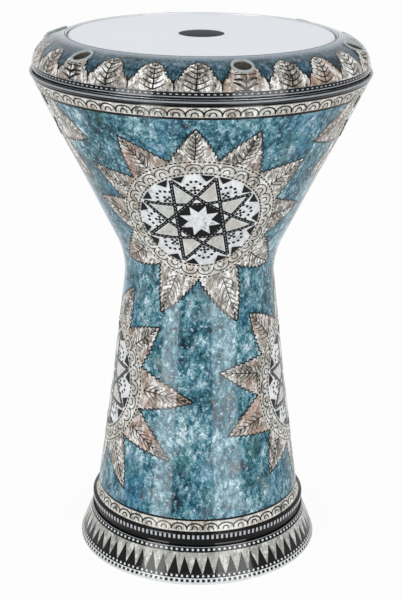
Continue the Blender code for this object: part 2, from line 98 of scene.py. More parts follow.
def between(start, end, share):
    """The point at a share of the way between two points."""
    return start[0] + (end[0] - start[0]) * share, start[1] + (end[1] - start[1]) * share


def beside(place, start, end, reach):
    """A place moved by reach to the left of the way from start to end."""
    (x, y), (x0, y0), (x1, y1) = place, start, end
    length = math.hypot(x1 - x0, y1 - y0)
    return x - (y1 - y0) / length * reach, y + (x1 - x0) / length * reach


def arc(centre, radius, start_deg, end_deg, steps):
    """Points along an arc, both ends included."""
    points = []
    for step in range(steps + 1):
        angle = math.radians(start_deg + (end_deg - start_deg) * step / steps)
        points.append((centre[0] + radius * math.cos(angle), centre[1] + radius * math.sin(angle)))
    return points


def fillet(before, corner, after, radius, steps):
    """The arc that rounds a corner between two straight runs."""
    corner = Vector(corner)
    back = (Vector(before) - corner).normalized()
    ahead = (Vector(after) - corner).normalized()
    half = back.angle(ahead) / 2
    centre = corner + (back + ahead).normalized() * (radius / math.sin(half))
    start = corner + back * (radius / math.tan(half)) - centre
    turn = 1 if start.x * ahead.y - start.y * ahead.x > 0 else -1
    points = []
    for step in range(steps + 1):
        angle = turn * (math.pi - 2 * half) * step / steps
        points.append((centre.x + start.x * math.cos(angle) - start.y * math.sin(angle),
                       centre.y + start.x * math.sin(angle) + start.y * math.cos(angle)))
    return points


class Face:
    """A turned outside as an outline that rises from its low end, measured along itself."""

    def __init__(self, points):
        self.points = points
        self.reach = [0.0]
        for (r0, z0), (r1, z1) in zip(points, points[1:]):
            self.reach.append(self.reach[-1] + math.hypot(r1 - r0, z1 - z0))

    def place(self, along):
        """The radius, the height and the outward direction at a distance along."""
        index = 0
        while index < len(self.points) - 2 and along > self.reach[index + 1]:
            index += 1
        (r0, z0), (r1, z1) = self.points[index], self.points[index + 1]
        length = self.reach[index + 1] - self.reach[index]
        share = (along - self.reach[index]) / length
        run, rise = (r1 - r0) / length, (z1 - z0) / length
        return (*between((r0, z0), (r1, z1), share), rise, -run)

    def along(self, height):
        """The distance along at a height."""
        for index, ((r0, z0), (r1, z1)) in enumerate(zip(self.points, self.points[1:])):
            if height <= z1 or index == len(self.points) - 2:
                share = (height - z0) / (z1 - z0)
                return self.reach[index] + (self.reach[index + 1] - self.reach[index]) * share

    def along_radius(self, radius):
        """The distance along of a face that closes in as it rises, at a radius."""
        for index, ((r0, z0), (r1, z1)) in enumerate(zip(self.points, self.points[1:])):
            if r1 < r0 and radius >= r1:
                share = (r0 - radius) / (r0 - r1)
                return self.reach[index] + (self.reach[index + 1] - self.reach[index]) * share
        return self.reach[-1]

    def stretch(self, low, high, lift=0.0):
        """The outline between two distances along, moved out by lift."""
        stops = [low] + [reach for reach in self.reach if low + 0.05 < reach < high - 0.05] + [high]
        points = []
        for stop in stops:
            radius, height, out, up = self.place(stop)
            points.append((radius + out * lift, height + up * lift))
        return points


def body_outline():
    """The outside from the toothed bead to the rim: flare, stem, waist and bowl."""
    rim = (RIM_RADIUS, STRIPE_BASE)
    flare = []
    for step in range(8):
        share = step / 8
        flare.append((STEM_FOOT[0] + 3.0 * (1 - share) ** 2,
                      SCALLOP_BASE + (STEM_BASE - SCALLOP_BASE) * share))
    waist = fillet(STEM_FOOT, WAIST_CORNER, rim, 67.0, 16)
    stem = []
    for step in range(24):
        share = step / 24
        bow = 4 * 0.9 * share * (1 - share)
        stem.append((STEM_FOOT[0] + (waist[0][0] - STEM_FOOT[0]) * share - bow,
                     STEM_BASE + (waist[0][1] - STEM_BASE) * share))
    bowl = [between(waist[-1], rim, step / 16) for step in range(1, 16)]
    return flare + stem + waist + bowl + [rim]


def collar_outline():
    """The collar's outside, from its lower edge up over the shoulder to its crest."""
    crest = (COLLAR_BORE + 0.7, HEIGHT)
    run = COLLAR_RADIUS - crest[0]
    corner = (COLLAR_RADIUS, HEIGHT - run * math.tan(math.radians(18.0)))
    shoulder = fillet(crest, corner, (COLLAR_RADIUS, COLLAR_BASE), 21.0, 24)
    shoulder = [point for point in shoulder if point[1] > BELT_TOP]
    return [(COLLAR_RADIUS, COLLAR_BASE), (COLLAR_RADIUS, BELT_TOP)] + shoulder[::-1] + [crest]


def eased(share):
    """0 to 1 with a soft start and a soft end."""
    share = min(max(share, 0.0), 1.0)
    return share * share * (3.0 - 2.0 * share)


def lip_height(out):
    """The height of a well's lip, which leans outwards less than the shoulder does."""
    return LIP_TOP - math.tan(math.radians(LIP_LEAN)) * out


def from_bolt(azimuth, radius):
    """How far a place lies out from the nearest bolt's axis, and how far from it in all."""
    nearest = min(BOLT_AZIMUTHS, key=lambda bolt: abs((azimuth - bolt + 180.0) % 360.0 - 180.0))
    swing = math.radians(azimuth - nearest)
    out = radius * math.cos(swing) - BOLT_CIRCLE
    return out, math.hypot(out, radius * math.sin(swing))


def boss_rise(azimuth, radius, height):
    """How far the shoulder rises round a well, to carry its lip."""
    out, gap = from_bolt(azimuth, radius)
    if gap > SWELL_REACH:
        return 0.0
    return (max(lip_height(out) - LIP_STAND - height, 0.0) * eased((SWELL_REACH - gap) / SWELL_EDGE)
            * eased((height - BELT_TOP) / SWELL_FOOT))


foot_cone = Face([(FOOT_RADIUS, CHECK_BASE), (CONE_TOP_RADIUS, COVE_BASE)])
tooth_bead = Face([(BEAD_RADIUS, BEAD_BASE), (BEAD_RADIUS, SCALLOP_BASE)])
body = Face(body_outline())
collar = Face(collar_outline())


def pick(*pieces):
    """Selects these pieces alone, with the first one active."""
    bpy.ops.object.select_all(action="DESELECT")
    for piece in pieces:
        piece.select_set(True)
    bpy.context.view_layer.objects.active = pieces[0]


def edit_all():
    """Starts editing the active piece with all of it selected."""
    bpy.ops.object.mode_set(mode="EDIT")
    bpy.ops.mesh.select_all(action="SELECT")


def apply_step(piece, step):
    """Applies one modifier of a piece."""
    bpy.context.view_layer.objects.active = piece
    bpy.ops.object.modifier_apply(modifier=step.name)


def smooth(piece, angle=32.0):
    """Smooth shading, with edges sharper than the angle left crisp."""
    pick(piece)
    bpy.ops.object.shade_smooth_by_angle(angle=math.radians(angle))
    return piece


def turned(name, outline, segments=ROUND, angle=32.0):
    """A closed outline of (radius, height) points, spun once about the axis."""
    bpy.ops.mesh.primitive_circle_add(vertices=len(outline), radius=1.0, fill_type="NOTHING")
    made = bpy.context.object
    made.name = name
    for corner, (radius, height) in zip(made.data.vertices, outline):
        corner.co = (radius * MM, 0.0, height * MM)
    edit_all()
    bpy.ops.mesh.spin(steps=segments, angle=math.tau, center=(0, 0, 0), axis=(0, 0, 1))
    bpy.ops.mesh.select_all(action="SELECT")
    bpy.ops.mesh.remove_doubles(threshold=1e-6)
    bpy.ops.mesh.delete_loose(use_verts=True, use_edges=True, use_faces=False)
    bpy.ops.mesh.select_all(action="SELECT")
    bpy.ops.mesh.normals_make_consistent(inside=False)
    bpy.ops.object.mode_set(mode="OBJECT")
    return smooth(made, angle)


def band(name, face, low, high, depth=INLAY, gap=GAP, lift=0.0):
    """A turned ring between two distances along a face, flush with it or lifted from it."""
    outside = face.stretch(low + gap, high - gap, lift)
    inside = face.stretch(low + gap, high - gap, lift - depth)
    return turned(name, outside + inside[::-1])


def line_ring(name, face, low_height, high_height, lift=LINE):
    """A thin ring laid round a face between two heights."""
    return band(name, face, face.along(low_height), face.along(high_height), SHEET_DEPTH + lift,
                0.0, lift)


grids = {}


def sheet(name, columns, rows, formula):
    """A flat grid whose corners, counted from 0 to 1 both ways, go where the formula puts them.
    Each size of grid is modelled once, and the pieces get copies of it."""
    if (columns, rows) not in grids:
        bpy.ops.mesh.primitive_grid_add(x_subdivisions=columns, y_subdivisions=rows, size=1.0)
        first = bpy.context.object
        grids[columns, rows] = first.data
        bpy.data.objects.remove(first)
    made = bpy.data.objects.new(name, grids[columns, rows].copy())
    bpy.context.scene.collection.objects.link(made)
    for corner in made.data.vertices:
        x, y = formula(corner.co.x + 0.5, corner.co.y + 0.5)
        corner.co = (x, y, 0.0)
    return made


def ribbon(name, path, width, steps, guide=None):
    """A strip of a width along a path, square to the guide, which is the path unless given."""
    guide = guide or path

    def spread(share, side):
        reach = (side - 0.5) * (width(share) if callable(width) else width)
        return beside(path(share), guide(max(share - 0.002, 0.0)), guide(min(share + 0.002, 1.0)),
                      reach)

    return sheet(name, steps, 1, spread)


def fan(name, corners, steps, rings, centre=None):
    """A flat tile with the given corners, listed clockwise, meshed from its middle outwards."""
    count = len(corners)
    if centre is None:
        centre = (sum(x for x, y in corners) / count, sum(y for x, y in corners) / count)

    def spread(share, out):
        spot = share * count
        index = min(int(spot + 1e-6), count - 1)
        edge = between(corners[index], corners[(index + 1) % count], spot - index)
        return between(centre, edge, out)

    return sheet(name, steps * count, rings, spread)


def polar(radius, azimuth):
    """A flat point at a distance from the middle, clockwise from straight up."""
    return radius * math.sin(math.radians(azimuth)), radius * math.cos(math.radians(azimuth))


def joined(name, parts):
    """Several pieces as one."""
    pick(*parts)
    if len(parts) > 1:
        bpy.ops.object.join()
    parts[0].name = name
    return parts[0]


def twin(piece, name):
    """A copy of a piece with its own mesh."""
    made = piece.copy()
    made.data = piece.data.copy()
    made.name = name
    bpy.context.scene.collection.objects.link(made)
    return made


def repeated(piece, count, step):
    """A row of a flat motif, step apart along x."""
    row = piece.modifiers.new("row", "ARRAY")
    row.count = count
    row.use_relative_offset = False
    row.use_constant_offset = True
    row.constant_offset_displace = (step, 0.0, 0.0)
    apply_step(piece, row)
    return piece


def ringed(piece, count, span=360.0):
    """A motif and its copies, evenly round the middle of a flat drawing, clockwise."""
    pick(piece)
    edit_all()
    bpy.ops.mesh.spin(steps=count - 1, dupli=True, angle=math.radians(span) * (count - 1) / count,
                      center=(0, 0, 0), axis=(0, 0, 1))
    bpy.ops.object.mode_set(mode="OBJECT")
    return piece


def moved(piece, shift=(0.0, 0.0), turn=0.0, scale=1.0):
    """A flat piece scaled, turned clockwise and shifted."""
    angle = math.radians(turn)
    for corner in piece.data.vertices:
        x, y = corner.co.x * scale, corner.co.y * scale
        corner.co.x = x * math.cos(angle) + y * math.sin(angle) + shift[0]
        corner.co.y = y * math.cos(angle) - x * math.sin(angle) + shift[1]
    return piece


def tinted(piece, tint):
    """Marks a tile with its own shade, from 0 to 1, which its material reads."""
    mark = piece.data.attributes.new("tint", "FLOAT", "POINT")
    mark.data.foreach_set("value", [tint] * len(piece.data.vertices))
    return piece


def laid(piece, face, spot, lift, depth=SHEET_DEPTH):
    """Puts a flat piece on a turned face and gives it thickness. spot turns a flat point into an
    azimuth and a distance along the face."""
    pick(piece)
    edit_all()
    bpy.ops.mesh.remove_doubles(threshold=1e-4)
    bpy.ops.object.mode_set(mode="OBJECT")
    for corner in piece.data.vertices:
        azimuth, along = spot(corner.co.x, corner.co.y)
        radius, height, out, up = face.place(along)
        if face is collar:
            height += boss_rise(azimuth, radius, height)
        stand = lift + corner.co.z
        radius += out * stand
        height += up * stand
        turn = math.radians(azimuth)
        corner.co = (radius * math.sin(turn) * MM, -radius * math.cos(turn) * MM, height * MM)
    if depth:
        wall = piece.modifiers.new("wall", "SOLIDIFY")
        wall.thickness = (depth + lift) * MM
        wall.offset = -1.0
        apply_step(piece, wall)
    return smooth(piece, 40.0)


def round_spot(face, height, radius, start=0.0):
    """A flat strip bent round a face: x is measured at a radius and y upwards from a height."""
    base = face.along(height)
    return lambda x, y: (start + math.degrees(x / radius), base + y)


def rosette_spot(face, azimuth, height, squeeze=1.0):
    """A flat drawing laid round a point of a cone, with its height squeezed a little or not."""
    base = face.along(height)
    radius = face.place(base)[0]
    slope = (face.place(base + 1.0)[0] - face.place(base - 1.0)[0]) / 2.0
    apex = radius / abs(slope)
    way = 1.0 if slope > 0 else -1.0

    def spot(x, y):
        up = apex + way * y * squeeze
        reach = math.hypot(x, up)
        turn = math.atan2(x, up)
        along = base + way * (reach - apex)
        return azimuth + math.degrees(turn * reach / face.place(along)[0]), along

    return spot


# Finishes


def paint(red, green, blue, alpha=1.0):
    """A colour as it is seen, 0 to 255, turned into the linear values that sockets take."""
    linear = []
    for value in (red, green, blue):
        share = value / 255.0
        linear.append(share / 12.92 if share <= 0.04045 else ((share + 0.055) / 1.055) ** 2.4)
    return (*linear, alpha)


class Signal:
    """What a node gives out. Python's arithmetic on it adds the Math nodes."""

    def __init__(self, finish, socket):
        self.finish = finish
        self.socket = socket

    def __add__(self, other):
        return self.finish.math("ADD", self, other)

    def __sub__(self, other):
        return self.finish.math("SUBTRACT", self, other)

    def __mul__(self, other):
        return self.finish.math("MULTIPLY", self, other)

    def __rsub__(self, other):
        return self.finish.math("SUBTRACT", other, self)

    def __pow__(self, other):
        return self.finish.math("POWER", self, other)

    def __gt__(self, other):
        return self.finish.math("GREATER_THAN", self, other)

    __radd__ = __add__
    __rmul__ = __mul__


class Finish:
    """A material whose nodes are written as expressions."""

    def __init__(self, name):
        self.material = bpy.data.materials.new(name)
        self.material.use_nodes = True
        self.tree = self.material.node_tree
        self.shader = self.tree.nodes["Principled BSDF"]
        self.place = self.node("ShaderNodeTexCoord", output=3)

    def node(self, kind, settings=None, sockets=None, output=0):
        """A node of a type, with its settings, and the values or links of its sockets."""
        made = self.tree.nodes.new(kind)
        for key, value in (settings or {}).items():
            if key == "stops":
                ramp = made.color_ramp
                while len(ramp.elements) < len(value):
                    ramp.elements.new(1.0)
                for element, (position, colour) in zip(ramp.elements, value):
                    element.position = position
                    element.color = colour
            else:
                setattr(made, key, value)
        for key, value in (sockets or {}).items():
            self.feed(made.inputs[key], value)
        return Signal(self, made.outputs[output])

    def feed(self, socket, value):
        if isinstance(value, Signal):
            self.tree.links.new(value.socket, socket)
        else:
            socket.default_value = value

    def math(self, operation, first, second=0.0):
        return self.node("ShaderNodeMath", {"operation": operation}, {0: first, 1: second})

    def clamp(self, signal):
        return self.node("ShaderNodeClamp", {}, {0: signal})

    def stretched(self, scale, turn=(0.0, 0.0, 0.0)):
        """The place on the piece, turned and stretched."""
        return self.node("ShaderNodeMapping", {}, {"Vector": self.place, "Rotation": turn,
                                                   "Scale": scale})

    def noise(self, scale, detail=2.0, place=None, roughness=0.5):
        return self.node("ShaderNodeTexNoise", {}, {"Vector": place or self.place, "Scale": scale,
                                                    "Detail": detail, "Roughness": roughness})

    def chips(self, scale, place=None, output=1):
        """Random values, one for each chip of a broken sheet, as a colour."""
        return self.node("ShaderNodeTexVoronoi", {}, {"Vector": place or self.place,
                                                      "Scale": scale}, output)

    def part(self, colour, index):
        return self.node("ShaderNodeSeparateColor", {}, {0: colour}, index)

    def ramp(self, signal, stops):
        return self.node("ShaderNodeValToRGB", {"stops": stops}, {0: signal})

    def mix(self, first, second, share, blend="MIX"):
        return self.node("ShaderNodeMix", {"data_type": "RGBA", "blend_type": blend},
                         {0: share, 6: first, 7: second}, 2)

    def bump(self, height, strength, distance):
        return self.node("ShaderNodeBump", {}, {"Strength": strength, "Distance": distance,
                                                "Height": height})

    def finished(self, **values):
        """Feeds the shader's sockets, named with low lines for spaces, and gives the material."""
        for key, value in values.items():
            self.feed(self.shader.inputs[key.replace("_", " ")], value)
        return self.material

    def lacquered(self, colour, roughness=0.42, **values):
        """The colour under the drum's thick clear lacquer."""
        return self.finished(Base_Color=colour, Roughness=roughness, Specular_IOR_Level=0.02,
                             Coat_Weight=1.0, Coat_Roughness=0.10, Coat_IOR=1.24, **values)


def teal_shell_finish(name, crest=False):
    """Crushed teal shell set in resin: shards of three sizes over slow clouds of colour. The
    collar's copy has painted shade, darker all over, and a painted pale reflection at its crest."""
    made = Finish(name)
    slant = made.stretched((1.0, 1.0, 0.6), (0.35, 0.5, 0.3))
    shard = made.part(made.chips(430.0, slant), 0)
    flake = made.part(made.chips(1000.0), 1)
    dust = made.noise(1500.0, 1.0)
    cloud = made.noise(34.0, 4.0)
    vein = made.noise(150.0, 4.0, slant, 0.65)
    light = (shard - 0.5) * 0.40 + (flake - 0.5) * 0.32 + (dust - 0.5) * 0.5
    light = light + (vein - 0.5) * 1.5 + (cloud - 0.5) * 1.15 + 0.5
    teal = made.ramp(made.clamp(light), [
        (0.0, paint(2, 22, 34)), (0.20, paint(14, 62, 78)), (0.40, paint(50, 106, 124)),
        (0.56, paint(86, 140, 156)), (0.72, paint(134, 176, 188)), (0.88, paint(178, 208, 220)),
        (1.0, paint(228, 241, 247))])
    blue_patch = made.clamp((made.noise(26.0, 3.0, made.stretched((1.0, 1.0, 0.7))) - 0.55) * 8.0)
    blue = made.mix(teal, paint(30, 116, 158), blue_patch * (shard + 0.3) * 0.42)
    green_patch = made.clamp((made.noise(41.0, 2.0, made.stretched((1.1, 0.9, 1.0))) - 0.56) * 8.0)
    green = made.mix(blue, paint(62, 120, 104), green_patch * 0.32)
    grey_patch = made.clamp((made.noise(60.0, 3.0) - 0.55) * 6.0)
    grey = made.mix(green, paint(150, 158, 160), grey_patch * 0.35)
    shimmer = made.part(made.chips(640.0), 2)
    glint = made.clamp((shimmer - 0.955) * 30.0)
    colour = made.mix(grey, paint(214, 222, 232), glint * 0.6)
    rust = made.clamp((made.part(made.chips(520.0, slant), 2) - 0.975) * 40.0)
    colour = made.mix(colour, paint(150, 122, 118), rust * 0.5)
    if crest:
        across, along, up = (made.node("ShaderNodeSeparateXYZ", {}, {0: made.place}, index)
                             for index in range(3))
        out = (across * across + along * along) ** 0.5
        # Painted shade: the collar's copy of the mosaic is multiplied darker all over.
        colour = made.mix(colour, (0.30, 0.34, 0.38, 1.0), 1.0, "MULTIPLY")
        # Painted reflection: near the crest the colour fades to a pale grey, as a white room's
        # reflection on the lacquer would.
        painted_crest_haze = made.clamp((0.1140 - out) * 150.0)
        colour = made.mix(colour, paint(172, 181, 192), painted_crest_haze * 0.9)
    bump = made.bump(shard + flake * 0.5, 0.25, 0.0004)
    return made.lacquered(colour, 0.34 + dust * 0.16, Normal=bump)


def nacre_finish(name, dark, body_colour, warm, pale, contrast=1.0):
    """Mother-of-pearl: soft clouds, flakes, a fine grain and a shade for each tile."""
    made = Finish(name)
    tint = made.node("ShaderNodeAttribute", {"attribute_name": "tint"}, output=2)
    slant = made.stretched((1.0, 1.0, 0.55), (0.2, 0.7, 0.4))
    flake = made.part(made.chips(330.0, slant), 0)
    grain = made.part(made.chips(1100.0), 1)
    fibre = made.noise(520.0, 4.0, made.stretched((1.0, 1.0, 0.4), (0.6, 0.2, 0.9)), 0.6)
    cloud = made.noise(95.0, 4.0, slant, 0.6)
    light = (flake - 0.5) * 0.34 + (grain - 0.5) * 0.26 + (fibre - 0.5) * 1.1
    light = (light + (cloud - 0.5) * 1.1) * contrast + 0.5
    tone = made.ramp(made.clamp(light), [
        (0.0, dark), (0.38, body_colour), (0.60, body_colour), (0.86, pale), (1.0, pale)])
    warmth = made.clamp((made.noise(62.0, 3.0) - 0.46) * 3.2 + (tint - 0.5) * 1.2)
    colour = made.mix(tone, warm, warmth * 0.62)
    cool = made.clamp((made.noise(84.0, 3.0, slant) - 0.56) * 6.0)
    colour = made.mix(colour, paint(150, 158, 146), cool * 0.35)
    bump = made.bump(fibre, 0.15, 0.0003)
    return made.lacquered(colour, 0.30 + fibre * 0.2, Normal=bump)


def resin_finish(name, colour, spread):
    """Resin strip or ink: one colour, a little uneven."""
    made = Finish(name)
    patch = made.noise(260.0, 2.0)
    tone = made.mix(colour, spread, made.clamp((patch - 0.4) * 2.0) * 0.5)
    return made.lacquered(tone, 0.30 + patch * 0.15)


def metal_finish(name, colour, dark, roughness, grain=700.0, depth=0.00008):
    """Cast or turned metal: mottled colour, a fine grain and uneven gloss."""
    made = Finish(name)
    patch = made.noise(110.0, 4.0)
    fine = made.noise(grain, 3.0)
    tone = made.mix(colour, dark, made.clamp((patch - 0.35) * 1.8) * 0.5)
    bump = made.bump(fine, 0.5, depth)
    return made.finished(Base_Color=tone, Metallic=1.0, Roughness=roughness + (fine - 0.5) * 0.25,
                         Normal=bump)


teal_shell = teal_shell_finish("teal_shell")
# The collar's copy has painted shade all over and a painted pale reflection at its crest.
collar_shell_painted_light = teal_shell_finish("collar_shell_painted_light", True)
leaf_nacre = nacre_finish("leaf_nacre", paint(70, 67, 62), paint(172, 167, 158),
                          paint(184, 144, 122), paint(255, 255, 254), 1.9)
cream_nacre = nacre_finish("cream_nacre", paint(108, 104, 94), paint(214, 213, 206),
                           paint(192, 166, 138), paint(255, 254, 250), 1.5)
disc_pearl = nacre_finish("disc_pearl", paint(176, 182, 186), paint(236, 240, 243),
                          paint(218, 216, 224), paint(255, 255, 255), 1.3)
foot_pearl = nacre_finish("foot_pearl", paint(104, 104, 96), paint(178, 179, 173),
                          paint(176, 164, 142), paint(232, 234, 232), 1.3)
gem_nacre = nacre_finish("gem_nacre", paint(150, 152, 144), paint(208, 210, 206),
                         paint(204, 188, 178), paint(238, 238, 234), 1.1)
black_resin = resin_finish("black_resin", paint(2, 3, 5), paint(10, 12, 16))
ink = resin_finish("ink", paint(11, 9, 9), paint(26, 21, 20))
white_resin = resin_finish("white_resin", paint(232, 235, 236), paint(214, 218, 220))
stripe_resin = resin_finish("stripe_resin", paint(160, 166, 174), paint(124, 130, 138))
tooth_resin = resin_finish("tooth_resin", paint(200, 203, 208), paint(168, 172, 178))


# The castings


def shell_casting():
    """The cast shell: foot lip, seats under the inlay, flange, neck, bearing edge and hollow."""
    lip = arc((FOOT_RADIUS - 1.6, 1.6), 1.6, -90, 0, 8) + [(FOOT_RADIUS, CHECK_BASE - GAP)]
    cone = [(FOOT_RADIUS - SEAT, CHECK_BASE - GAP), (CONE_TOP_RADIUS - SEAT, COVE_BASE)]
    steps = [(COVE_RADIUS - SEAT, COVE_BASE), (COVE_RADIUS - SEAT, BEAD_BASE),
             (BEAD_RADIUS - SEAT, BEAD_BASE), (BEAD_RADIUS - SEAT, SCALLOP_BASE)]
    seat = [(radius - SEAT, height) for radius, height in body.points]
    flange = [(seat[-1][0], FLANGE_TOP), (NECK_RADIUS, FLANGE_TOP)]
    crown = arc((NECK_RADIUS - BEARING_ROUND, NECK_TOP - BEARING_ROUND), BEARING_ROUND, 0, 90, 6)
    ceiling = FLANGE_TOP - 7.0
    neck = crown + [(NECK_BORE, NECK_TOP - 0.8), (NECK_BORE, ceiling)]
    hollow = [(radius - SEAT - WALL, height) for radius, height in body.points
              if STEM_BASE - 0.01 <= height < ceiling]
    top = body.place(body.along(ceiling))
    hollow = hollow + [(top[0] - SEAT - WALL, ceiling)]
    mouth = [(FOOT_RADIUS - 8.6, 0.0)]
    return turned("shell_casting_turned", lip + cone + steps + seat + flange + neck
                  + hollow[::-1] + mouth)


def at_bolt(piece, azimuth, rise=0.0):
    """Moves an upright piece to the axis of one bolt."""
    turn = math.radians(azimuth)
    for corner in piece.data.vertices:
        corner.co.x += BOLT_CIRCLE * math.sin(turn) * MM
        corner.co.y -= BOLT_CIRCLE * math.cos(turn) * MM
        corner.co.z += rise * MM
    return piece


def post(radius, low, high, azimuth, segments=32):
    """An upright cylinder on the axis of one bolt."""
    bpy.ops.mesh.primitive_cylinder_add(vertices=segments, radius=radius * MM,
                                        depth=(high - low) * MM)
    return at_bolt(bpy.context.object, azimuth, (low + high) / 2)


def posts(name, radius, low, high, segments=32):
    """The same cylinder on every bolt axis."""
    return joined(name, [post(radius, low, high, azimuth, segments) for azimuth in BOLT_AZIMUTHS])


def combined(piece, tool, operation):
    """Joins a piece with a tool, or cuts it, and removes the tool."""
    step = piece.modifiers.new(tool.name, "BOOLEAN")
    step.operation = operation
    step.object = tool
    step.solver = "EXACT"
    apply_step(piece, step)
    bpy.data.objects.remove(tool)
    return piece


def make_shell():
    """The casting with its tapped lugs under the flange."""
    shell = shell_casting()
    hole_low = BOLT_SEAT - BOLT_LENGTH - 1.5
    lug_low, lug_top = hole_low - 2.5, FLANGE_TOP - 3.5
    inset = SEAT + WALL / 2
    trim = turned("lug_trim", [(body.place(body.along(lug_low))[0] - inset, lug_low),
                               (body.place(body.along(lug_top))[0] - inset, lug_top),
                               (80.0, lug_top), (80.0, lug_low)])
    lugs = combined(posts("lugs", 8.0, lug_low - WALL, lug_top + WALL), trim, "INTERSECT")
    combined(shell, lugs, "UNION")
    combined(shell, posts("tapped_holes", HOLE_RADIUS, hole_low, FLANGE_TOP + WALL, 24),
             "DIFFERENCE")
    return smooth(shell, 35.0)


def make_collar_casting():
    """The collar: crest lip, seat, skirt, channel, hoop rebate, bore, and a well for each bolt."""
    lip_low = collar.along_radius(COLLAR_BORE + 2.4 + TOUCH)
    leaf = collar.stretch(collar.along(BELT_TOP), lip_low, -SEAT)
    seat_radius = COLLAR_RADIUS - SEAT
    crest = collar.place(lip_low)
    channel_out, channel_in = seat_radius - 3.2, REBATE_RADIUS + 3.6
    channel_top = COLLAR_BASE + 7.5
    outline = [(COLLAR_BORE, HEIGHT - 0.7), (COLLAR_BORE + 0.25, HEIGHT - 0.2),
               (COLLAR_BORE + 0.7, HEIGHT), crest[:2]]
    outline += leaf[::-1]
    outline += [(seat_radius, COLLAR_BASE), (channel_out, COLLAR_BASE), (channel_out, channel_top),
                (channel_in, channel_top), (channel_in, COLLAR_BASE),
                (REBATE_RADIUS, COLLAR_BASE), (REBATE_RADIUS, HOOP_TOP + TOUCH),
                (COLLAR_BORE, HOOP_TOP + TOUCH)]
    casting = turned("collar_casting_turned", outline)
    proud = collar.stretch(collar.along(BELT_TOP), collar.along_radius(REBATE_RADIUS), 0.4)
    ring = [(REBATE_RADIUS, COLLAR_BASE), (proud[0][0], COLLAR_BASE)] + proud
    ring += [(REBATE_RADIUS, proud[-1][1])]
    bosses = combined(posts("bosses", BOSS_RADIUS, COLLAR_BASE, HEIGHT + 9.0, 48),
                      turned("boss_trim", ring), "INTERSECT")
    combined(casting, bosses, "UNION")
    combined(casting, posts("wells", WELL_RADIUS, WELL_FLOOR, HEIGHT + 9.0, 48), "DIFFERENCE")
    combined(casting, posts("bolt_holes", HOLE_RADIUS, COLLAR_BASE - 6.0, WELL_FLOOR + 1.0, 24),
             "DIFFERENCE")
    return smooth(casting, 35.0)


def clear_of_wells(flat, spot, clearance):
    """Takes away the part of a flat pattern that would hang over the wells."""
    def over_a_well(face):
        azimuth, along = spot(face.center.x, face.center.y)
        return from_bolt(azimuth, collar.place(along)[0])[1] < clearance

    return without(flat, over_a_well)


def make_collar_mosaic():
    """The mosaic over the collar's shoulder, which swells round each well."""
    low, high = collar.along(BELT_TOP), collar.along_radius(MOSAIC_TOP)

    def spot(x, y):
        return x, low + y

    flat = sheet("collar_mosaic", 480, 26, lambda u, v: (360.0 * u, (high - low) * v))
    flat = clear_of_wells(flat, spot, 7.7)
    return laid(flat, collar, spot, 0.0, INLAY)


def on_bolt(piece, azimuth):
    """Stands a turned piece on a bolt's axis, with its upper part leaning as the lips do."""
    turn = math.radians(azimuth)
    for corner in piece.data.vertices:
        out, side, height = -corner.co.y / MM, corner.co.x / MM, corner.co.z / MM
        height += lip_height(out) if height > -8.0 else lip_height(0.0)
        out += BOLT_CIRCLE
        corner.co = ((out * math.sin(turn) + side * math.cos(turn)) * MM,
                     (side * math.sin(turn) - out * math.cos(turn)) * MM, height * MM)
    return piece


def well_rings(name, outline):
    """A leaning ring in every well, as one piece."""
    return joined(name, [on_bolt(turned(name, outline, 56), azimuth) for azimuth in BOLT_AZIMUTHS])


def make_well_lips():
    """The enamelled lips of the wells on their short tubes, cut off at the lean of the lips."""
    lip = arc((7.55, 0.0), 1.05, 180, 0, 10)
    low = LIP_FOOT - LIP_TOP
    return smooth(well_rings("well_lips", [(6.5, low)] + lip + [(8.6, -1.2), (8.6, low)]), 60.0)


def make_well_shade_linings():
    """Thin tubes of painted shade for the dark insides of the wells, down to their floors."""
    low = WELL_FLOOR - lip_height(0.0) + 0.1
    return well_rings("well_shade_linings", [(6.2, low), (6.53, low), (6.53, -0.3), (6.35, -0.3)])


def make_bolt(name, azimuth):
    """A socket head screw: rounded head, hexagon socket, shank and a tapered end."""
    top = BOLT_SEAT + BOLT_HEAD
    low = BOLT_SEAT - BOLT_LENGTH
    outline = [(0.0, top), (4.1, top)] + arc((4.35, top - 0.65), 0.65, 80, 0, 4)
    outline += [(5.0, BOLT_SEAT + 0.1), (4.9, BOLT_SEAT), (3.0, BOLT_SEAT), (3.0, low + 0.6),
                (2.4, low), (0.0, low)]
    bolt = turned(name, outline, 36)
    bpy.ops.mesh.primitive_cylinder_add(vertices=6, radius=5.0 / math.sqrt(3) * MM, depth=6.0 * MM)
    socket = bpy.context.object
    for corner in socket.data.vertices:
        corner.co.z += top * MM
    combined(bolt, socket, "DIFFERENCE")
    return smooth(at_bolt(bolt, azimuth), 30.0)


def make_washer(name, azimuth):
    """A flat washer with softened edges on the floor of a well."""
    low, high = WASHER_BASE, WASHER_BASE + 1.0
    outline = [(HOLE_RADIUS, low), (5.85, low), (6.0, low + 0.15), (6.0, high - 0.15),
               (5.85, high), (HOLE_RADIUS, high)]
    return smooth(at_bolt(turned(name, outline, 36), azimuth), 30.0)


def make_film():
    """The head: a flat film with its edge folded over the bearing edge."""
    outer = BEARING_ROUND + TOUCH + FILM_THICKNESS
    inner = BEARING_ROUND + TOUCH
    centre = (FILM_RADIUS - outer, FILM_TOP - outer)
    outline = [(0.0, FILM_TOP), (PATCH_RADIUS, FILM_TOP), (60.0, FILM_TOP)]
    outline += arc(centre, outer, 90, 0, 10)
    outline += [(FILM_RADIUS, FILM_BOTTOM), (FILM_RADIUS - FILM_THICKNESS, FILM_BOTTOM)]
    outline += arc(centre, inner, 0, 90, 8)
    outline += [(0.0, FILM_TOP - FILM_THICKNESS)]
    return turned("head_film", outline)


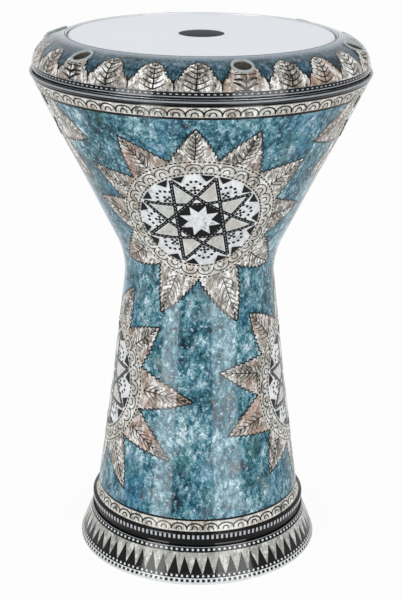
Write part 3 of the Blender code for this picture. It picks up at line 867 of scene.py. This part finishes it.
def make_hoop():
    """The hoop bonded round the film's skirt."""
    round_off = arc((HOOP_OUTER - 0.8, HOOP_TOP - 0.8), 0.8, 0, 90, 5)
    return turned("head_hoop", [(HOOP_INNER, HOOP_BOTTOM), (HOOP_OUTER, HOOP_BOTTOM)] + round_off
                  + [(HOOP_INNER, HOOP_TOP)])


# Leaves


TOOTH_START, TIP_TAPER = 0.26, 2.6


def bent(start, end, bulge):
    """A run between two points that bows to its left by bulge at its middle."""
    def point(share):
        return beside(between(start, end, share), start, end, 4 * bulge * share * (1 - share))

    return point


def toothed(path, depth, count, side):
    """A leaf's edge with saw teeth that point to its tip."""
    def point(share):
        tooth = (share * count + TOOTH_START) % 1.0 * depth * min(1.0, TIP_TAPER * (1.0 - share))
        return beside(path(share), path(max(share - 0.01, 0.0)), path(min(share + 0.01, 1.0)),
                      tooth * side)

    return point


class Leaf:
    """A pointed leaf between its left edge and its right edge, both from its foot to its tip."""

    def __init__(self, left, right, pitch=4.3, depth=2.5):
        self.left, self.right = left, right
        span = 0.0
        for edge in (left, right):
            (x0, y0), (x1, y1) = edge(0.0), edge(1.0)
            span += math.hypot(x1 - x0, y1 - y0) / 2
        self.teeth = max(4, round(span / pitch))
        self.left_teeth = toothed(left, depth, self.teeth, 1)
        self.right_teeth = toothed(right, depth, self.teeth, -1)

    def point(self, across, up, edges=None):
        """A place across from the left edge and up from the foot, each from 0 to 1."""
        left, right = edges or (self.left, self.right)
        return between(left(up), right(up), across)

    def tile(self, tint, columns=10):
        edges = (self.left_teeth, self.right_teeth)
        made = sheet("leaf", columns, 4 * self.teeth, lambda u, v: self.point(u, v, edges))
        return tinted(made, tint)

    def outline(self, width=1.25, start=0.0):
        """The dark line along both edges."""
        parts = []
        for edge, guide in ((self.left_teeth, self.left), (self.right_teeth, self.right)):
            parts.append(ribbon("edge", lambda s: edge(start + (1 - start) * s), width,
                                4 * self.teeth, lambda s: guide(start + (1 - start) * s)))
        return parts

    def veins(self, dice, count=7, foot=0.10, top=0.88, reach=0.66, width=0.82):
        """The midrib and its side veins, which lean towards the tip."""
        sway = dice.uniform(-0.05, 0.05)
        middle = 0.5 + dice.uniform(-0.06, 0.06)

        def midrib(share):
            return self.point(middle + sway * math.sin(math.pi * share), foot + (top - foot) * share)

        parts = [ribbon("midrib", midrib, lambda s: width * (1.25 - 0.6 * s), 10)]
        for side in (-1, 1):
            for index in range(count):
                level = index / (count - 0.3)
                start = foot + (top - foot) * level
                spread = reach * dice.uniform(0.86, 1.10) * (0.86 + 0.3 * level)
                rise = (0.17 - 0.06 * level) * dice.uniform(0.9, 1.15)

                def vein(share):
                    root = middle + sway * math.sin(math.pi * level)
                    across = root + side * 0.5 * spread * share
                    return self.point(across, min(start + rise * share * (0.75 + 0.25 * share), 0.98))

                parts.append(ribbon("vein", vein, lambda s: width * (1.1 - 0.5 * s), 4))
        return parts


# Rosettes


RING_OUT, RING_IN, DISC_RADIUS = 59.2, 48.1, 46.8
STAR_TIP = 44.6
STAR_CHORD = STAR_TIP * math.cos(math.radians(67.5))


def rosette_leaves(tips, dice, first=None, last=None):
    """The ring of leaves round a rosette: their tiles and their lines. Each tip is an angle
    clockwise from up and a distance from the middle. first and last close an open ring."""
    tiles, lines = [], []
    count = len(tips)
    for index, (angle, reach) in enumerate(tips):
        left_angle, right_angle = first, last
        if index or first is None:
            left_angle = angle - ((angle - tips[index - 1][0]) % 360.0) / 2
        if index < count - 1 or last is None:
            right_angle = angle + ((tips[(index + 1) % count][0] - angle) % 360.0) / 2
        tip = polar(reach, angle)
        bulge = dice.uniform(0.0, 1.3)
        left = bent(polar(RING_OUT + 1.2, left_angle), tip, bulge)
        right = bent(polar(RING_OUT + 1.2, right_angle), tip, -bulge)
        leaf = Leaf(left, right)
        tiles.append(leaf.tile(dice.random()))
        lines += leaf.outline()
        lines += leaf.veins(dice, 8 if reach > 98 else 7)
    return joined("leaf_tiles", tiles), joined("leaf_lines", lines)


def scallop(radius, half_width, rise, width):
    """One arch that stands outwards on a circle, at the top of the drawing."""
    def arch(share):
        swing = -math.cos(math.pi * share) * half_width
        lift = rise * math.sin(math.pi * share) ** 0.8
        return polar(radius + lift, math.degrees(swing / radius))

    return ribbon("scallop", arch, width, 14)


def dash(radius, length, height):
    """One dash on a circle, at the top of the drawing."""
    half = math.degrees(length / 2 / radius)
    return sheet("dash", 1, 1,
                 lambda u, v: polar(radius + (v - 0.5) * height, (2 * u - 1) * half))


def square(middle, size, turn):
    """A small square tile."""
    made = sheet("square", 1, 1, lambda u, v: ((u - 0.5) * size, (v - 0.5) * size))
    return moved(made, middle, turn)


def annulus(name, inner, outer, columns, rows, start=0.0, span=360.0):
    """A flat ring or a part of one."""
    return sheet(name, columns, rows,
                 lambda u, v: polar(inner + (outer - inner) * v, start + span * u))


def star_point():
    """The wedges at one tip of the star, which points up, and the dots in the gap beside it."""
    tiles = []
    for way in (-1, 1):
        wedge = [polar(46.4, way * 2.2), polar(46.4, way * 15.0), polar(40.4, way * 9.0)]
        tiles.append(fan("wedge", wedge[::-way], 2, 2))
    side, out = polar(1.0, 22.5 + 90.0), polar(1.0, 22.5)
    spots = [(0.0, 0.0), (2.7, 0.0), (-2.7, 0.0), (0.0, 2.7), (0.0, -2.7),
             (1.9, 8.6), (4.8, 6.0), (7.6, 3.2), (-1.9, 8.6), (-4.8, 6.0), (-7.6, 3.2)]
    for across, up in spots:
        middle = (side[0] * across + out[0] * (31.2 + up), side[1] * across + out[1] * (31.2 + up))
        tiles.append(square(middle, 2.2, 22.5 + 45.0))
    return joined("star_point", tiles)


def star_run(share):
    """A place on the star's side, from the tip that points up to the third tip clockwise."""
    return between(polar(STAR_TIP, 0.0), polar(STAR_TIP, 135.0), share)


def star_band():
    """One black band of the star."""
    return ribbon("star_band", star_run, 2.9, 28)


def star_stitches():
    """The pale stitches along one band of the star."""
    count, half = 25, 0.58 / (2 * STAR_TIP * math.sin(math.radians(67.5)))
    parts = []
    for index in range(count):
        middle = (index + 0.5) / count
        parts.append(ribbon("stitch", lambda s: star_run(middle + (2 * s - 1) * half), 0.42, 1))
    return joined("stitches", parts)


def without(flat, unwanted):
    """Takes away the faces of a flat pattern that a test picks out."""
    bpy.ops.object.select_all(action="DESELECT")
    bpy.context.view_layer.objects.active = flat
    edit_all()
    bpy.ops.mesh.select_mode(type="FACE")
    bpy.ops.mesh.select_all(action="DESELECT")
    bpy.ops.object.mode_set(mode="OBJECT")
    for face in flat.data.polygons:
        face.select = unwanted(face)
    bpy.ops.object.mode_set(mode="EDIT")
    bpy.ops.mesh.delete(type="FACE")
    bpy.ops.object.mode_set(mode="OBJECT")
    return flat


def below_middle(flat):
    """Leaves the half of a drawing that lies below its middle."""
    corners = flat.data.vertices
    return without(flat, lambda face: max(corners[index].co.y for index in face.vertices) > 0.6)


def rosette_heart(whole, dice):
    """Everything inside a rosette's leaves, flat, as a piece, a layer and a finish for each part.
    Half a rosette keeps what lies below its middle."""
    start, span = (0.0, 360.0) if whole else (90.0, 180.0)
    share = span / 360.0
    gems, bands, points, stitches = [], [], [], []
    for index in range(8):
        tip = 45.0 * index
        gem = [polar(39.0, tip), polar(24.0, tip + 16.0), polar(20.4, tip), polar(24.0, tip - 16.0)]
        gems.append(tinted(fan("gem", gem, 3, 3), dice.random()))
        bands.append(moved(star_band(), turn=tip))
        stitches.append(moved(star_stitches(), turn=tip))
        points.append(moved(star_point(), turn=tip))
    if not whole:
        gems, bands, points, stitches = [[below_middle(joined("half", parts))]
                                         for parts in (gems, bands, points, stitches)]
    columns = round(120 * share)
    dashes, arches = [], []
    for radius, count, length in ((RING_OUT, 102, 2.2), (RING_IN, 88, 2.1)):
        count = round(count * share)
        first = moved(dash(radius, length, 1.2), turn=start + span / count / 2)
        dashes.append(ringed(first, count, span))
    count = 26 * share
    for radius, half, rise in ((51.4, 6.1, 5.4), (50.2, 2.6, 3.5)):
        first = moved(scallop(radius, half, rise, 0.78), turn=start + span / count / 2)
        arches.append(ringed(first, round(count), span))
    layers = {
        "ring": (tinted(annulus("ring_plate", DISC_RADIUS - 1.0, RING_OUT + 1.4, columns, 5, start,
                                span), 0.45), RING_TILE, cream_nacre),
        "disc": (tinted(annulus("disc_plate", 0.0, DISC_RADIUS, columns, 14, start, span), 0.4),
                 DISC, disc_pearl),
        "gems": (joined("gems", gems), SMALL_TILE, gem_nacre),
        "points": (joined("star_points", points), SMALL_TILE, black_resin),
        "bands": (joined("star_bands", bands), LINE, black_resin),
        "stitches": (joined("stitches", stitches), TOP_TILE, tooth_resin),
        "dashes": (joined("dashes", dashes), SMALL_TILE, black_resin),
        "scallops": (joined("scallops", arches), SMALL_TILE, ink),
    }
    if whole:
        eight = [polar(STAR_CHORD / math.cos(math.radians(22.5)), 45.0 * index)
                 for index in range(8)]
        layers["octagon"] = (fan("octagon", eight, 4, 6, (0.0, 0.0)), SMALL_TILE, black_resin)
        star = []
        for index in range(8):
            star += [polar(15.8, 45.0 * index), polar(8.6, 45.0 * index + 22.5)]
        layers["star"] = (tinted(fan("white_star", star, 2, 5, (0.0, 0.0)), 0.3), LINE, disc_pearl)
    return layers


def put(piece, finish, body_name, slot, *nodes):
    """Gives a piece its finish and its body, and hides the solids that it stands for. slot is not
    used.
    """
    piece.data.materials.clear()
    piece.data.materials.append(finish)
    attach(piece, body_name)
    if nodes:
        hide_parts(*nodes)
    return piece


UPPER_TIPS = [(-162.3, 101.6), (-136.2, 93.4), (-96.6, 89.5), (-72.5, 95.0), (-41.8, 95.4),
              (-2.2, 90.4), (28.3, 94.4), (65.9, 93.6), (100.8, 90.4), (137.9, 94.8),
              (163.3, 108.8)]
LEFT_TIPS = [(-149.0, 99.0), (-116.0, 103.0), (-83.0, 104.0), (-50.0, 95.0), (-15.0, 92.0),
             (21.4, 92.3), (47.3, 92.6), (84.8, 107.3), (113.9, 107.0), (144.0, 102.2),
             (177.0, 98.0)]
RIGHT_TIPS = [(-170.0, 95.0), (-138.0, 92.9), (-102.8, 97.8), (-70.3, 99.3), (-37.6, 95.3),
              (-4.0, 92.0), (29.0, 94.0), (62.0, 98.0), (95.0, 102.0), (128.0, 98.0),
              (160.0, 96.0)]
RIM_TIPS = [(117.0, 96.0), (144.3, 95.0), (180.0, 92.0), (215.7, 95.0), (243.0, 96.0)]


def rosettes():
    """The rosettes of the bowl and the stem. The heart is drawn once and copied to each."""
    plan = [
        ("bowl_front", UPPER_TIPS, 15.4, rosette_spot(body, 0.0, 304.1, 0.975), 1.0),
        ("bowl_back", UPPER_TIPS, 15.4, rosette_spot(body, 180.0, 304.1, 0.975), 1.0),
        ("stem_left", LEFT_TIPS, 22.5, rosette_spot(body, -89.0, 149.0), 1.0),
        ("stem_right", RIGHT_TIPS, 22.5, rosette_spot(body, 90.0, 147.6), 0.97),
        ("rim_left", RIM_TIPS, 0.0, rosette_spot(body, -90.0, 391.0), 1.0),
        ("rim_right", RIM_TIPS, 0.0, rosette_spot(body, 90.0, 391.0), 1.0),
    ]
    hearts = {True: rosette_heart(True, random.Random(5)),
              False: rosette_heart(False, random.Random(6))}
    for index, (name, tips, star_angle, spot, scale) in enumerate(plan):
        whole = tips is not RIM_TIPS
        ends = (None, None) if whole else (90.0, 270.0)
        tiles, lines = rosette_leaves(tips, random.Random(41 + index), *ends)
        layers = {part: (moved(twin(piece, part), turn=star_angle), lift, finish)
                  for part, (piece, lift, finish) in hearts[whole].items()}
        layers["leaves"] = (tiles, TILE, leaf_nacre)
        layers["veins"] = (lines, RING_TILE, ink)
        for part, (piece, lift, finish) in layers.items():
            made = laid(moved(piece, scale=scale), body, spot, lift)
            made.name = name + "_" + part
            put(made, finish, DRUM, "teal_mosaic")
    for layers in hearts.values():
        for piece, lift, finish in layers.values():
            bpy.data.objects.remove(piece)


# Bands


def row_round(motif, count, radius):
    """A motif drawn once at the left, repeated right round a radius."""
    return repeated(motif, count, math.tau * radius / count)


def inlaid(name, row, face, height, radius, finish, body_name, slot, start=0.0):
    """Lays a row round a face at a height."""
    made = laid(row, face, round_spot(face, height, radius, start), TILE)
    put(made, finish, body_name, slot).name = name


def block(width, low, high):
    """A small upright tile for a row."""
    return sheet("block", 1, 1, lambda u, v: (u * width, low + (high - low) * v))


def dot(radius, sides=10):
    """A small round tile for a row."""
    rim = [polar(radius, 360.0 * index / sides) for index in range(sides)]
    return fan("dot", [(radius + x, y) for x, y in rim], 1, 1)


def scallop_row(count, radius, rise, inner_half, inner_rise):
    """A row of scallops with a small arch inside each."""
    pitch = math.tau * radius / count

    def outer(share):
        return (pitch / 2 * (1 - math.cos(math.pi * share)),
                rise * math.sin(math.pi * share) ** 0.75)

    def inner(share):
        return (pitch / 2 - inner_half * math.cos(math.pi * share),
                inner_rise * math.sin(math.pi * share) ** 0.8)

    motif = joined("scallops", [ribbon("outer", outer, 1.2, 14), ribbon("inner", inner, 1.05, 8)])
    return row_round(motif, count, radius)


def foot_bands():
    """The rings of the foot and what is set into them."""
    along = foot_cone.along
    put(band("foot_check_ring", foot_cone, along(CHECK_BASE), along(LOWER_DOT_BASE)),
        white_resin, DRUM, "checked_pearl", "foot_check_inlay")
    put(band("foot_lower_dot_ring", foot_cone, along(LOWER_DOT_BASE), along(TRIANGLE_BASE), gap=0.1),
        black_resin, DRUM, "dotted_resin", "foot_lower_dot_inlay")
    put(tinted(band("foot_triangle_ring", foot_cone, along(TRIANGLE_BASE), along(UPPER_DOT_BASE),
                    gap=0.1), 0.3), foot_pearl, DRUM, "pearl_triangles", "foot_triangle_inlay")
    put(band("foot_upper_dot_ring", foot_cone, along(UPPER_DOT_BASE), along(COVE_BASE), SEAT - 0.02,
             0.1),
        black_resin, DRUM, "dotted_resin", "foot_upper_dot_inlay")
    for name, motif, count, height, radius, finish, slot in (
            ("foot_checks", block(2.35, -1.1, 1.1), CHECKS, 3.9, LOWER_ROW_RADIUS, black_resin,
             "checked_pearl"),
            ("foot_lower_dots", dot(1.0), LOWER_DOTS, 7.4, LOWER_ROW_RADIUS, white_resin,
             "dotted_resin"),
            ("foot_upper_dots", dot(1.0), UPPER_DOTS, 27.3, UPPER_ROW_RADIUS, white_resin,
             "dotted_resin")):
        inlaid(name, row_round(motif, count, radius), foot_cone, height, radius, finish, DRUM, slot)

    dice = random.Random(7)
    tiles = []
    for index in range(TRIANGLES):
        middle = 360.0 / TRIANGLES * index + dice.uniform(-0.2, 0.2)
        lean = dice.uniform(-0.6, 0.6)
        half = 2.78 + dice.uniform(-0.10, 0.03)
        tip = 16.1 + dice.uniform(-1.9, 0.5)
        tiles.append(fan("triangle", [(middle - half, 0.0), (middle + lean, tip),
                                      (middle + half, 0.0)], 5, 3))
    base = along(8.88)
    put(laid(joined("triangles", tiles), foot_cone, lambda x, y: (x, base + y), TILE),
        black_resin, DRUM, "pearl_triangles").name = "foot_triangles"

    hollow = arc((COVE_RADIUS + 6.6, (COVE_BASE + BEAD_BASE) / 2), 7.3, 155, 205, 8)
    cove = [point for point in hollow[::-1] if COVE_BASE + 0.7 < point[1] < BEAD_BASE - 0.4]
    ring = [(COVE_RADIUS - INLAY, COVE_BASE + 0.02), (COVE_RADIUS + 0.2, COVE_BASE + 0.02),
            (COVE_RADIUS + 0.2, COVE_BASE + 0.6)] + cove
    ring += [(COVE_RADIUS + 0.2, BEAD_BASE - 0.35), (COVE_RADIUS + 0.2, BEAD_BASE - GAP),
             (COVE_RADIUS - INLAY, BEAD_BASE - GAP)]
    put(turned("foot_cove_ring", ring), black_resin, DRUM, "black_resin", "foot_cove_inlay")
    bead = [(BEAD_RADIUS - INLAY, BEAD_BASE + GAP)] \
        + arc((BEAD_RADIUS - 1.0, BEAD_BASE + 1.15), 1.0, -90, 0, 5) \
        + arc((BEAD_RADIUS - 1.0, SCALLOP_BASE - 1.15), 1.0, 0, 90, 5) \
        + [(BEAD_RADIUS - INLAY, SCALLOP_BASE - GAP)]
    put(turned("foot_tooth_ring", bead), black_resin, DRUM, "toothed_resin", "foot_tooth_bead")
    inlaid("foot_teeth", row_round(block(1.8, -1.75, 1.7), TEETH, BEAD_RADIUS), tooth_bead, 38.2,
           BEAD_RADIUS, tooth_resin, DRUM, "toothed_resin")

    put(tinted(band("foot_scallop_ring", body, body.along(SCALLOP_BASE), body.along(STEM_BASE)),
               0.5), cream_nacre, DRUM, "pearl_scallops", "foot_scallop_inlay")
    inlaid("foot_scallops", scallop_row(FOOT_SCALLOPS, 86.0, 5.2, 2.3, 2.7), body, 43.0, 86.0, ink,
           DRUM, "pearl_scallops", 3.0)


def rim_bands():
    """The scallops under the rim and the striped bead."""
    put(tinted(band("rim_scallop_ring", body, body.along(RIM_SCALLOP_BASE),
                    body.along(STRIPE_BASE)), 0.5), cream_nacre, DRUM, "pearl_scallops",
        "rim_scallop_inlay")
    inlaid("rim_scallops", scallop_row(RIM_SCALLOPS, 131.0, 6.6, 2.6, 3.6), body, 393.0, 131.0, ink,
           DRUM, "pearl_scallops", 1.0)
    swell = []
    for step in range(17):
        share = step / 16
        swell.append((RIM_RADIUS + 1.4 * math.sin(math.pi * share),
                      STRIPE_BASE + GAP + (FLANGE_TOP - STRIPE_BASE - 0.3) * share))
    bead = swell + [(RIM_RADIUS - INLAY, FLANGE_TOP - GAP), (RIM_RADIUS - INLAY, STRIPE_BASE + GAP)]
    put(turned("rim_stripe_ring", bead), black_resin, DRUM, "striped_resin", "rim_stripe_bead")
    swelling = Face(swell)
    put(line_ring("rim_light_stripe", swelling, 403.7, 404.75, 0.10), stripe_resin, DRUM,
        "striped_resin")


def black_lines():
    """The black lines that edge the mosaic and the scallops, the thin black rings over the bare
    metal between two inlays, a black ring of painted shade on the flange in the gap under the
    collar, and the pale line over the upper dots."""
    lines = [line_ring("line", body, low, high, 0.12)
             for low, high in ((390.5, 392.3), (400.4, 401.45), (50.0, 51.6), (41.1, 41.8))]
    put(joined("black_edge_lines", lines), black_resin, DRUM, "black_resin")
    ledge = [(BEAD_RADIUS - 3.4, 41.02), (BEAD_RADIUS - 1.1, 41.02), (BEAD_RADIUS - 1.3, 41.2),
             (BEAD_RADIUS - 2.0, 41.5), (BEAD_RADIUS - 3.4, 41.5)]
    # The flange ring is painted shade: black for the dark gap between the shell and the collar.
    flange = [(126.0, FLANGE_TOP + 0.02), (RIM_RADIUS - 1.4, FLANGE_TOP + 0.02),
              (RIM_RADIUS - 1.4, FLANGE_TOP + 0.1), (126.0, FLANGE_TOP + 0.1)]
    groove = [(89.02, 29.10), (89.9, 29.44), (89.9, 29.62), (89.02, 29.62)]
    for name, outline in (("bead_ledge", ledge), ("flange_painted_shade", flange), ("cove_ink", groove)):
        put(turned(name, outline), black_resin, DRUM, "black_resin")
    pale = line_ring("cove_light_line", foot_cone, 28.85, 29.35, 0.08)
    put(pale, stripe_resin, DRUM, "dotted_resin")


COLLAR_LEAF = [(0.0, 7.4), (0.14, 7.5), (0.26, 6.7), (0.36, 5.5), (0.46, 4.6), (0.58, 4.3),
               (0.70, 3.8), (0.81, 2.9), (0.91, 1.7), (1.0, 0.0)]


def collar_edge(middle, side, reach, scale):
    """One edge of a collar leaf, which is broad at its foot and drawn in to a point."""
    def point(share):
        for (s0, w0), (s1, w1) in zip(COLLAR_LEAF, COLLAR_LEAF[1:]):
            if share <= s1:
                width = w0 + (w1 - w0) * (share - s0) / (s1 - s0)
                break
        return (middle + side * width) * scale, reach * share

    return point


def collar_pieces():
    """The collar's mosaic, its leaves, its belt, the wells' lips, and the painted shade in the wells.
    """
    put(make_collar_mosaic(), collar_shell_painted_light, COLLAR, "leaf_mosaic", "collar_leaf_inlay")
    belt = [(COLLAR_RADIUS - INLAY, COLLAR_BASE + GAP), (COLLAR_RADIUS - 0.25, COLLAR_BASE + GAP),
            (COLLAR_RADIUS, COLLAR_BASE + 0.4), (COLLAR_RADIUS, BELT_TOP - 0.1),
            (COLLAR_RADIUS - INLAY, BELT_TOP - 0.1)]
    put(turned("collar_belt", belt), black_resin, COLLAR, "dashed_belt", "collar_belt_inlay")
    put(line_ring("collar_light_line", collar, 407.4, 408.1, 0.08), stripe_resin, COLLAR,
        "dashed_belt")
    inlaid("collar_dashes", row_round(block(1.8, -0.36, 0.36), BELT_DASHES, COLLAR_RADIUS), collar,
           409.6, COLLAR_RADIUS, tooth_resin, COLLAR, "dashed_belt")

    low, high = collar.along(411.25), collar.along(429.0)
    scale = math.radians(1.0) * 125.0
    dice = random.Random(19)
    tiles, lines = [], []

    def spot(x, y):
        return x / scale, low + y

    for index in range(COLLAR_LEAVES):
        middle = BOLT_AZIMUTHS[0] + 360.0 / COLLAR_LEAVES * index
        reach = (high - low) * dice.uniform(0.93, 1.03)
        leaf = Leaf(collar_edge(middle, -1, reach, scale), collar_edge(middle, 1, reach, scale),
                    3.6, 2.3)
        tiles.append(leaf.tile(dice.random(), 22))
        lines += leaf.outline(1.15, 0.22)
        top = 0.56 if index % 4 == 0 else 0.92
        lines += leaf.veins(dice, 6, 0.04, top, 0.72, 1.0)
        stem = (middle + 7.5) * scale
        lines.append(ribbon("trunk", lambda s: (stem + 0.4 * math.sin(5 * s), 0.8 + 7.4 * s),
                            lambda s: 0.9 + 0.5 * s, 6))
    for name, parts, lift, finish in (("collar_leaves", tiles, TILE, leaf_nacre),
                                      ("collar_leaf_lines", lines, RING_TILE, ink)):
        flat = clear_of_wells(joined(name, parts), spot, 8.0)
        put(laid(flat, collar, spot, lift), finish, COLLAR, "leaf_mosaic").name = name
    put(make_well_lips(), lip_enamel, COLLAR, "cast_metal")
    # The wells' insides are lined with painted shade.
    put(make_well_shade_linings(), well_painted_shade, COLLAR, "cast_metal")
    # Grey over the bare crest lip: the mosaic's tone with its painted pale reflection carried on.
    crest = collar.along_radius(MOSAIC_TOP)
    crest_line = band("crest_line", collar, crest + 0.1, collar.reach[-1], 0.4, 0.0, 0.05)
    put(crest_line, crest_haze_grey, COLLAR, "cast_metal")


def film_finish():
    """Milk-white head film, faintly clouded."""
    made = Finish("milk_film")
    cloud = made.noise(18.0, 3.0)
    tone = made.mix(paint(231, 235, 242), paint(236, 240, 246), cloud)
    fine = made.noise(1400.0, 2.0)
    return made.finished(Base_Color=tone, Roughness=0.42 + (fine - 0.5) * 0.08,
                         Specular_IOR_Level=0.25, Normal=made.bump(fine, 0.2, 0.00004))


def matt_finish(name, colour, spread):
    """Flat ink or dull paint."""
    made = Finish(name)
    patch = made.noise(300.0, 3.0)
    return made.finished(Base_Color=made.mix(colour, spread, patch), Specular_IOR_Level=0.15,
                         Roughness=0.6 + patch * 0.1)


lip_enamel = resin_finish("lip_enamel", paint(176, 184, 184), paint(96, 110, 112))
cast_metal = metal_finish("cast_metal", paint(216, 218, 220), paint(186, 189, 193), 0.40, 520.0,
                          0.00025)
hoop_metal = metal_finish("hoop_metal", paint(190, 192, 195), paint(160, 163, 168), 0.34)
bolt_steel = metal_finish("bolt_steel", paint(150, 152, 156), paint(104, 108, 114), 0.30)
washer_steel = metal_finish("washer_steel", paint(150, 153, 157), paint(110, 114, 120), 0.36)
# Painted shade for the wells' insides: a mottled dark brown-grey.
well_painted_shade = matt_finish("well_painted_shade", paint(118, 112, 100), paint(40, 40, 40))
# The crest lip's grey: partly the mosaic's own colour, partly painted pale reflection.
crest_haze_grey = matt_finish("crest_haze_grey", paint(112, 120, 130), paint(88, 96, 106))

put(make_shell(), cast_metal, DRUM, "cast_metal", "shell_casting")
mosaic = band("body_mosaic", body, body.along(STEM_BASE), body.along(RIM_SCALLOP_BASE))
put(mosaic, teal_shell, DRUM, "teal_mosaic", "stem_bowl_inlay")
foot_bands()
rim_bands()
black_lines()
rosettes()
put(make_film(), film_finish(), DRUM, "head_film", "drumhead_film")
centre_patch = turned("head_patch", [(0.0, FILM_TOP + 0.12), (PATCH_RADIUS - 0.3, FILM_TOP + 0.12),
                                     (PATCH_RADIUS, FILM_TOP), (PATCH_RADIUS, FILM_TOP - 0.2),
                                     (0.0, FILM_TOP - 0.2)], 96)
put(centre_patch, matt_finish("patch_black", paint(46, 49, 57), paint(40, 43, 50)), DRUM,
    "head_film")
put(make_hoop(), hoop_metal, DRUM, "hoop_metal", "flesh_hoop")
put(make_collar_casting(), cast_metal, COLLAR, "cast_metal", "collar_casting")
collar_pieces()
for number, azimuth in enumerate(BOLT_AZIMUTHS, start=1):
    put(make_washer("washer_%d_turned" % number, azimuth), washer_steel, COLLAR, "washer_steel",
        "washer_%d" % number)
    put(make_bolt("bolt_%d_turned" % number, azimuth), bolt_steel, "tension_bolt_%d" % number,
        "bolt_steel", "bolt_%d" % number)


# The stage


def make_floor():
    """A wide pale floor that shows white and keeps the drum's shadow."""
    bpy.ops.mesh.primitive_circle_add(vertices=96, radius=6.0, fill_type="NGON")
    floor = bpy.context.object
    floor.name = "stage_floor"
    made = Finish("stage_floor")
    tree = made.tree
    made.feed(made.shader.inputs["Base Color"], paint(246, 246, 246))
    made.feed(made.shader.inputs["Roughness"], 0.9)
    rays = tree.nodes.new("ShaderNodeLightPath")
    glow = made.node("ShaderNodeEmission", {}, {"Color": (1.0, 1.0, 1.0, 1.0), "Strength": 1.0})
    seen = made.clamp(Signal(made, rays.outputs["Is Camera Ray"])
                      + Signal(made, rays.outputs["Is Glossy Ray"])
                      + Signal(made, rays.outputs["Is Transmission Ray"]))
    mixed = made.node("ShaderNodeMixShader", {}, {0: seen * 0.92, 1: Signal(
        made, made.shader.outputs[0]), 2: glow})
    tree.links.new(mixed.socket, tree.nodes["Material Output"].inputs["Surface"])
    floor.data.materials.append(made.material)


def make_world():
    """A white room that lights softly."""
    world = bpy.data.worlds.new("white_room")
    bpy.context.scene.world = world
    world.use_nodes = True
    tree = world.node_tree
    rays = tree.nodes.new("ShaderNodeLightPath")
    total = rays.outputs["Is Camera Ray"]
    for name in ("Is Glossy Ray", "Is Transmission Ray"):
        add = tree.nodes.new("ShaderNodeMath")
        add.operation = "ADD"
        add.use_clamp = True
        tree.links.new(total, add.inputs[0])
        tree.links.new(rays.outputs[name], add.inputs[1])
        total = add.outputs[0]
    level = tree.nodes.new("ShaderNodeMapRange")
    tree.links.new(total, level.inputs["Value"])
    level.inputs["To Min"].default_value = 0.80
    level.inputs["To Max"].default_value = 1.0
    back = tree.nodes["Background"]
    back.inputs["Color"].default_value = (1.0, 1.0, 1.0, 1.0)
    tree.links.new(level.outputs["Result"], back.inputs["Strength"])


def soft_box(name, azimuth, distance, low, high, width, radiance, lights=True):
    """An upright strip light that faces the drum's axis. One that only shines back from the
    lacquer gives no light to what is dull."""
    data = bpy.data.lights.new(name, "AREA")
    data.shape = "RECTANGLE"
    data.size = width
    data.size_y = high - low
    data.energy = radiance * math.pi * width * (high - low)
    lamp = bpy.data.objects.new(name, data)
    turn = math.radians(azimuth)
    lamp.location = (distance * math.sin(turn), -distance * math.cos(turn), (low + high) / 2)
    lamp.rotation_euler = (math.radians(90), 0.0, turn)
    lamp.visible_camera = False
    lamp.visible_diffuse = lights
    bpy.context.scene.collection.objects.link(lamp)


def make_camera():
    """The photograph's view: a long lens, looking down a little."""
    pitch, yaw, roll = 0.336822, 0.00132855, 0.00934985
    ahead = Vector((math.sin(yaw) * math.cos(pitch), math.cos(yaw) * math.cos(pitch),
                    -math.sin(pitch)))
    right = Vector((math.cos(yaw), -math.sin(yaw), 0.0))
    up = right.cross(ahead)
    rolled_right = right * math.cos(roll) + up * math.sin(roll)
    rolled_up = up * math.cos(roll) - right * math.sin(roll)
    data = bpy.data.cameras.new("camera")
    data.lens = 89.19
    data.sensor_width = 36.0
    camera = bpy.data.objects.new("camera", data)
    axes = Matrix((rolled_right, rolled_up, -ahead)).transposed()
    camera.matrix_world = Matrix.Translation((0.0, -1.16414, 0.61833)) @ axes.to_4x4()
    bpy.context.scene.collection.objects.link(camera)
    bpy.context.scene.camera = camera


make_floor()
make_world()
# Two narrow strips close by, for the highlights alone, and two wide boxes that light the drum
soft_box("left_strip", -36.0, 0.34, 0.0, 0.45, 0.12, 13.0, False)
soft_box("right_strip", 31.5, 0.34, 0.0, 0.45, 0.18, 10.5, False)
soft_box("left_fill", -42.0, 1.4, 0.5, 1.5, 0.9, 0.9)
soft_box("right_fill", 38.0, 1.4, 0.5, 1.5, 0.9, 0.7)
make_camera()
bpy.context.scene.view_settings.view_transform = "Standard"
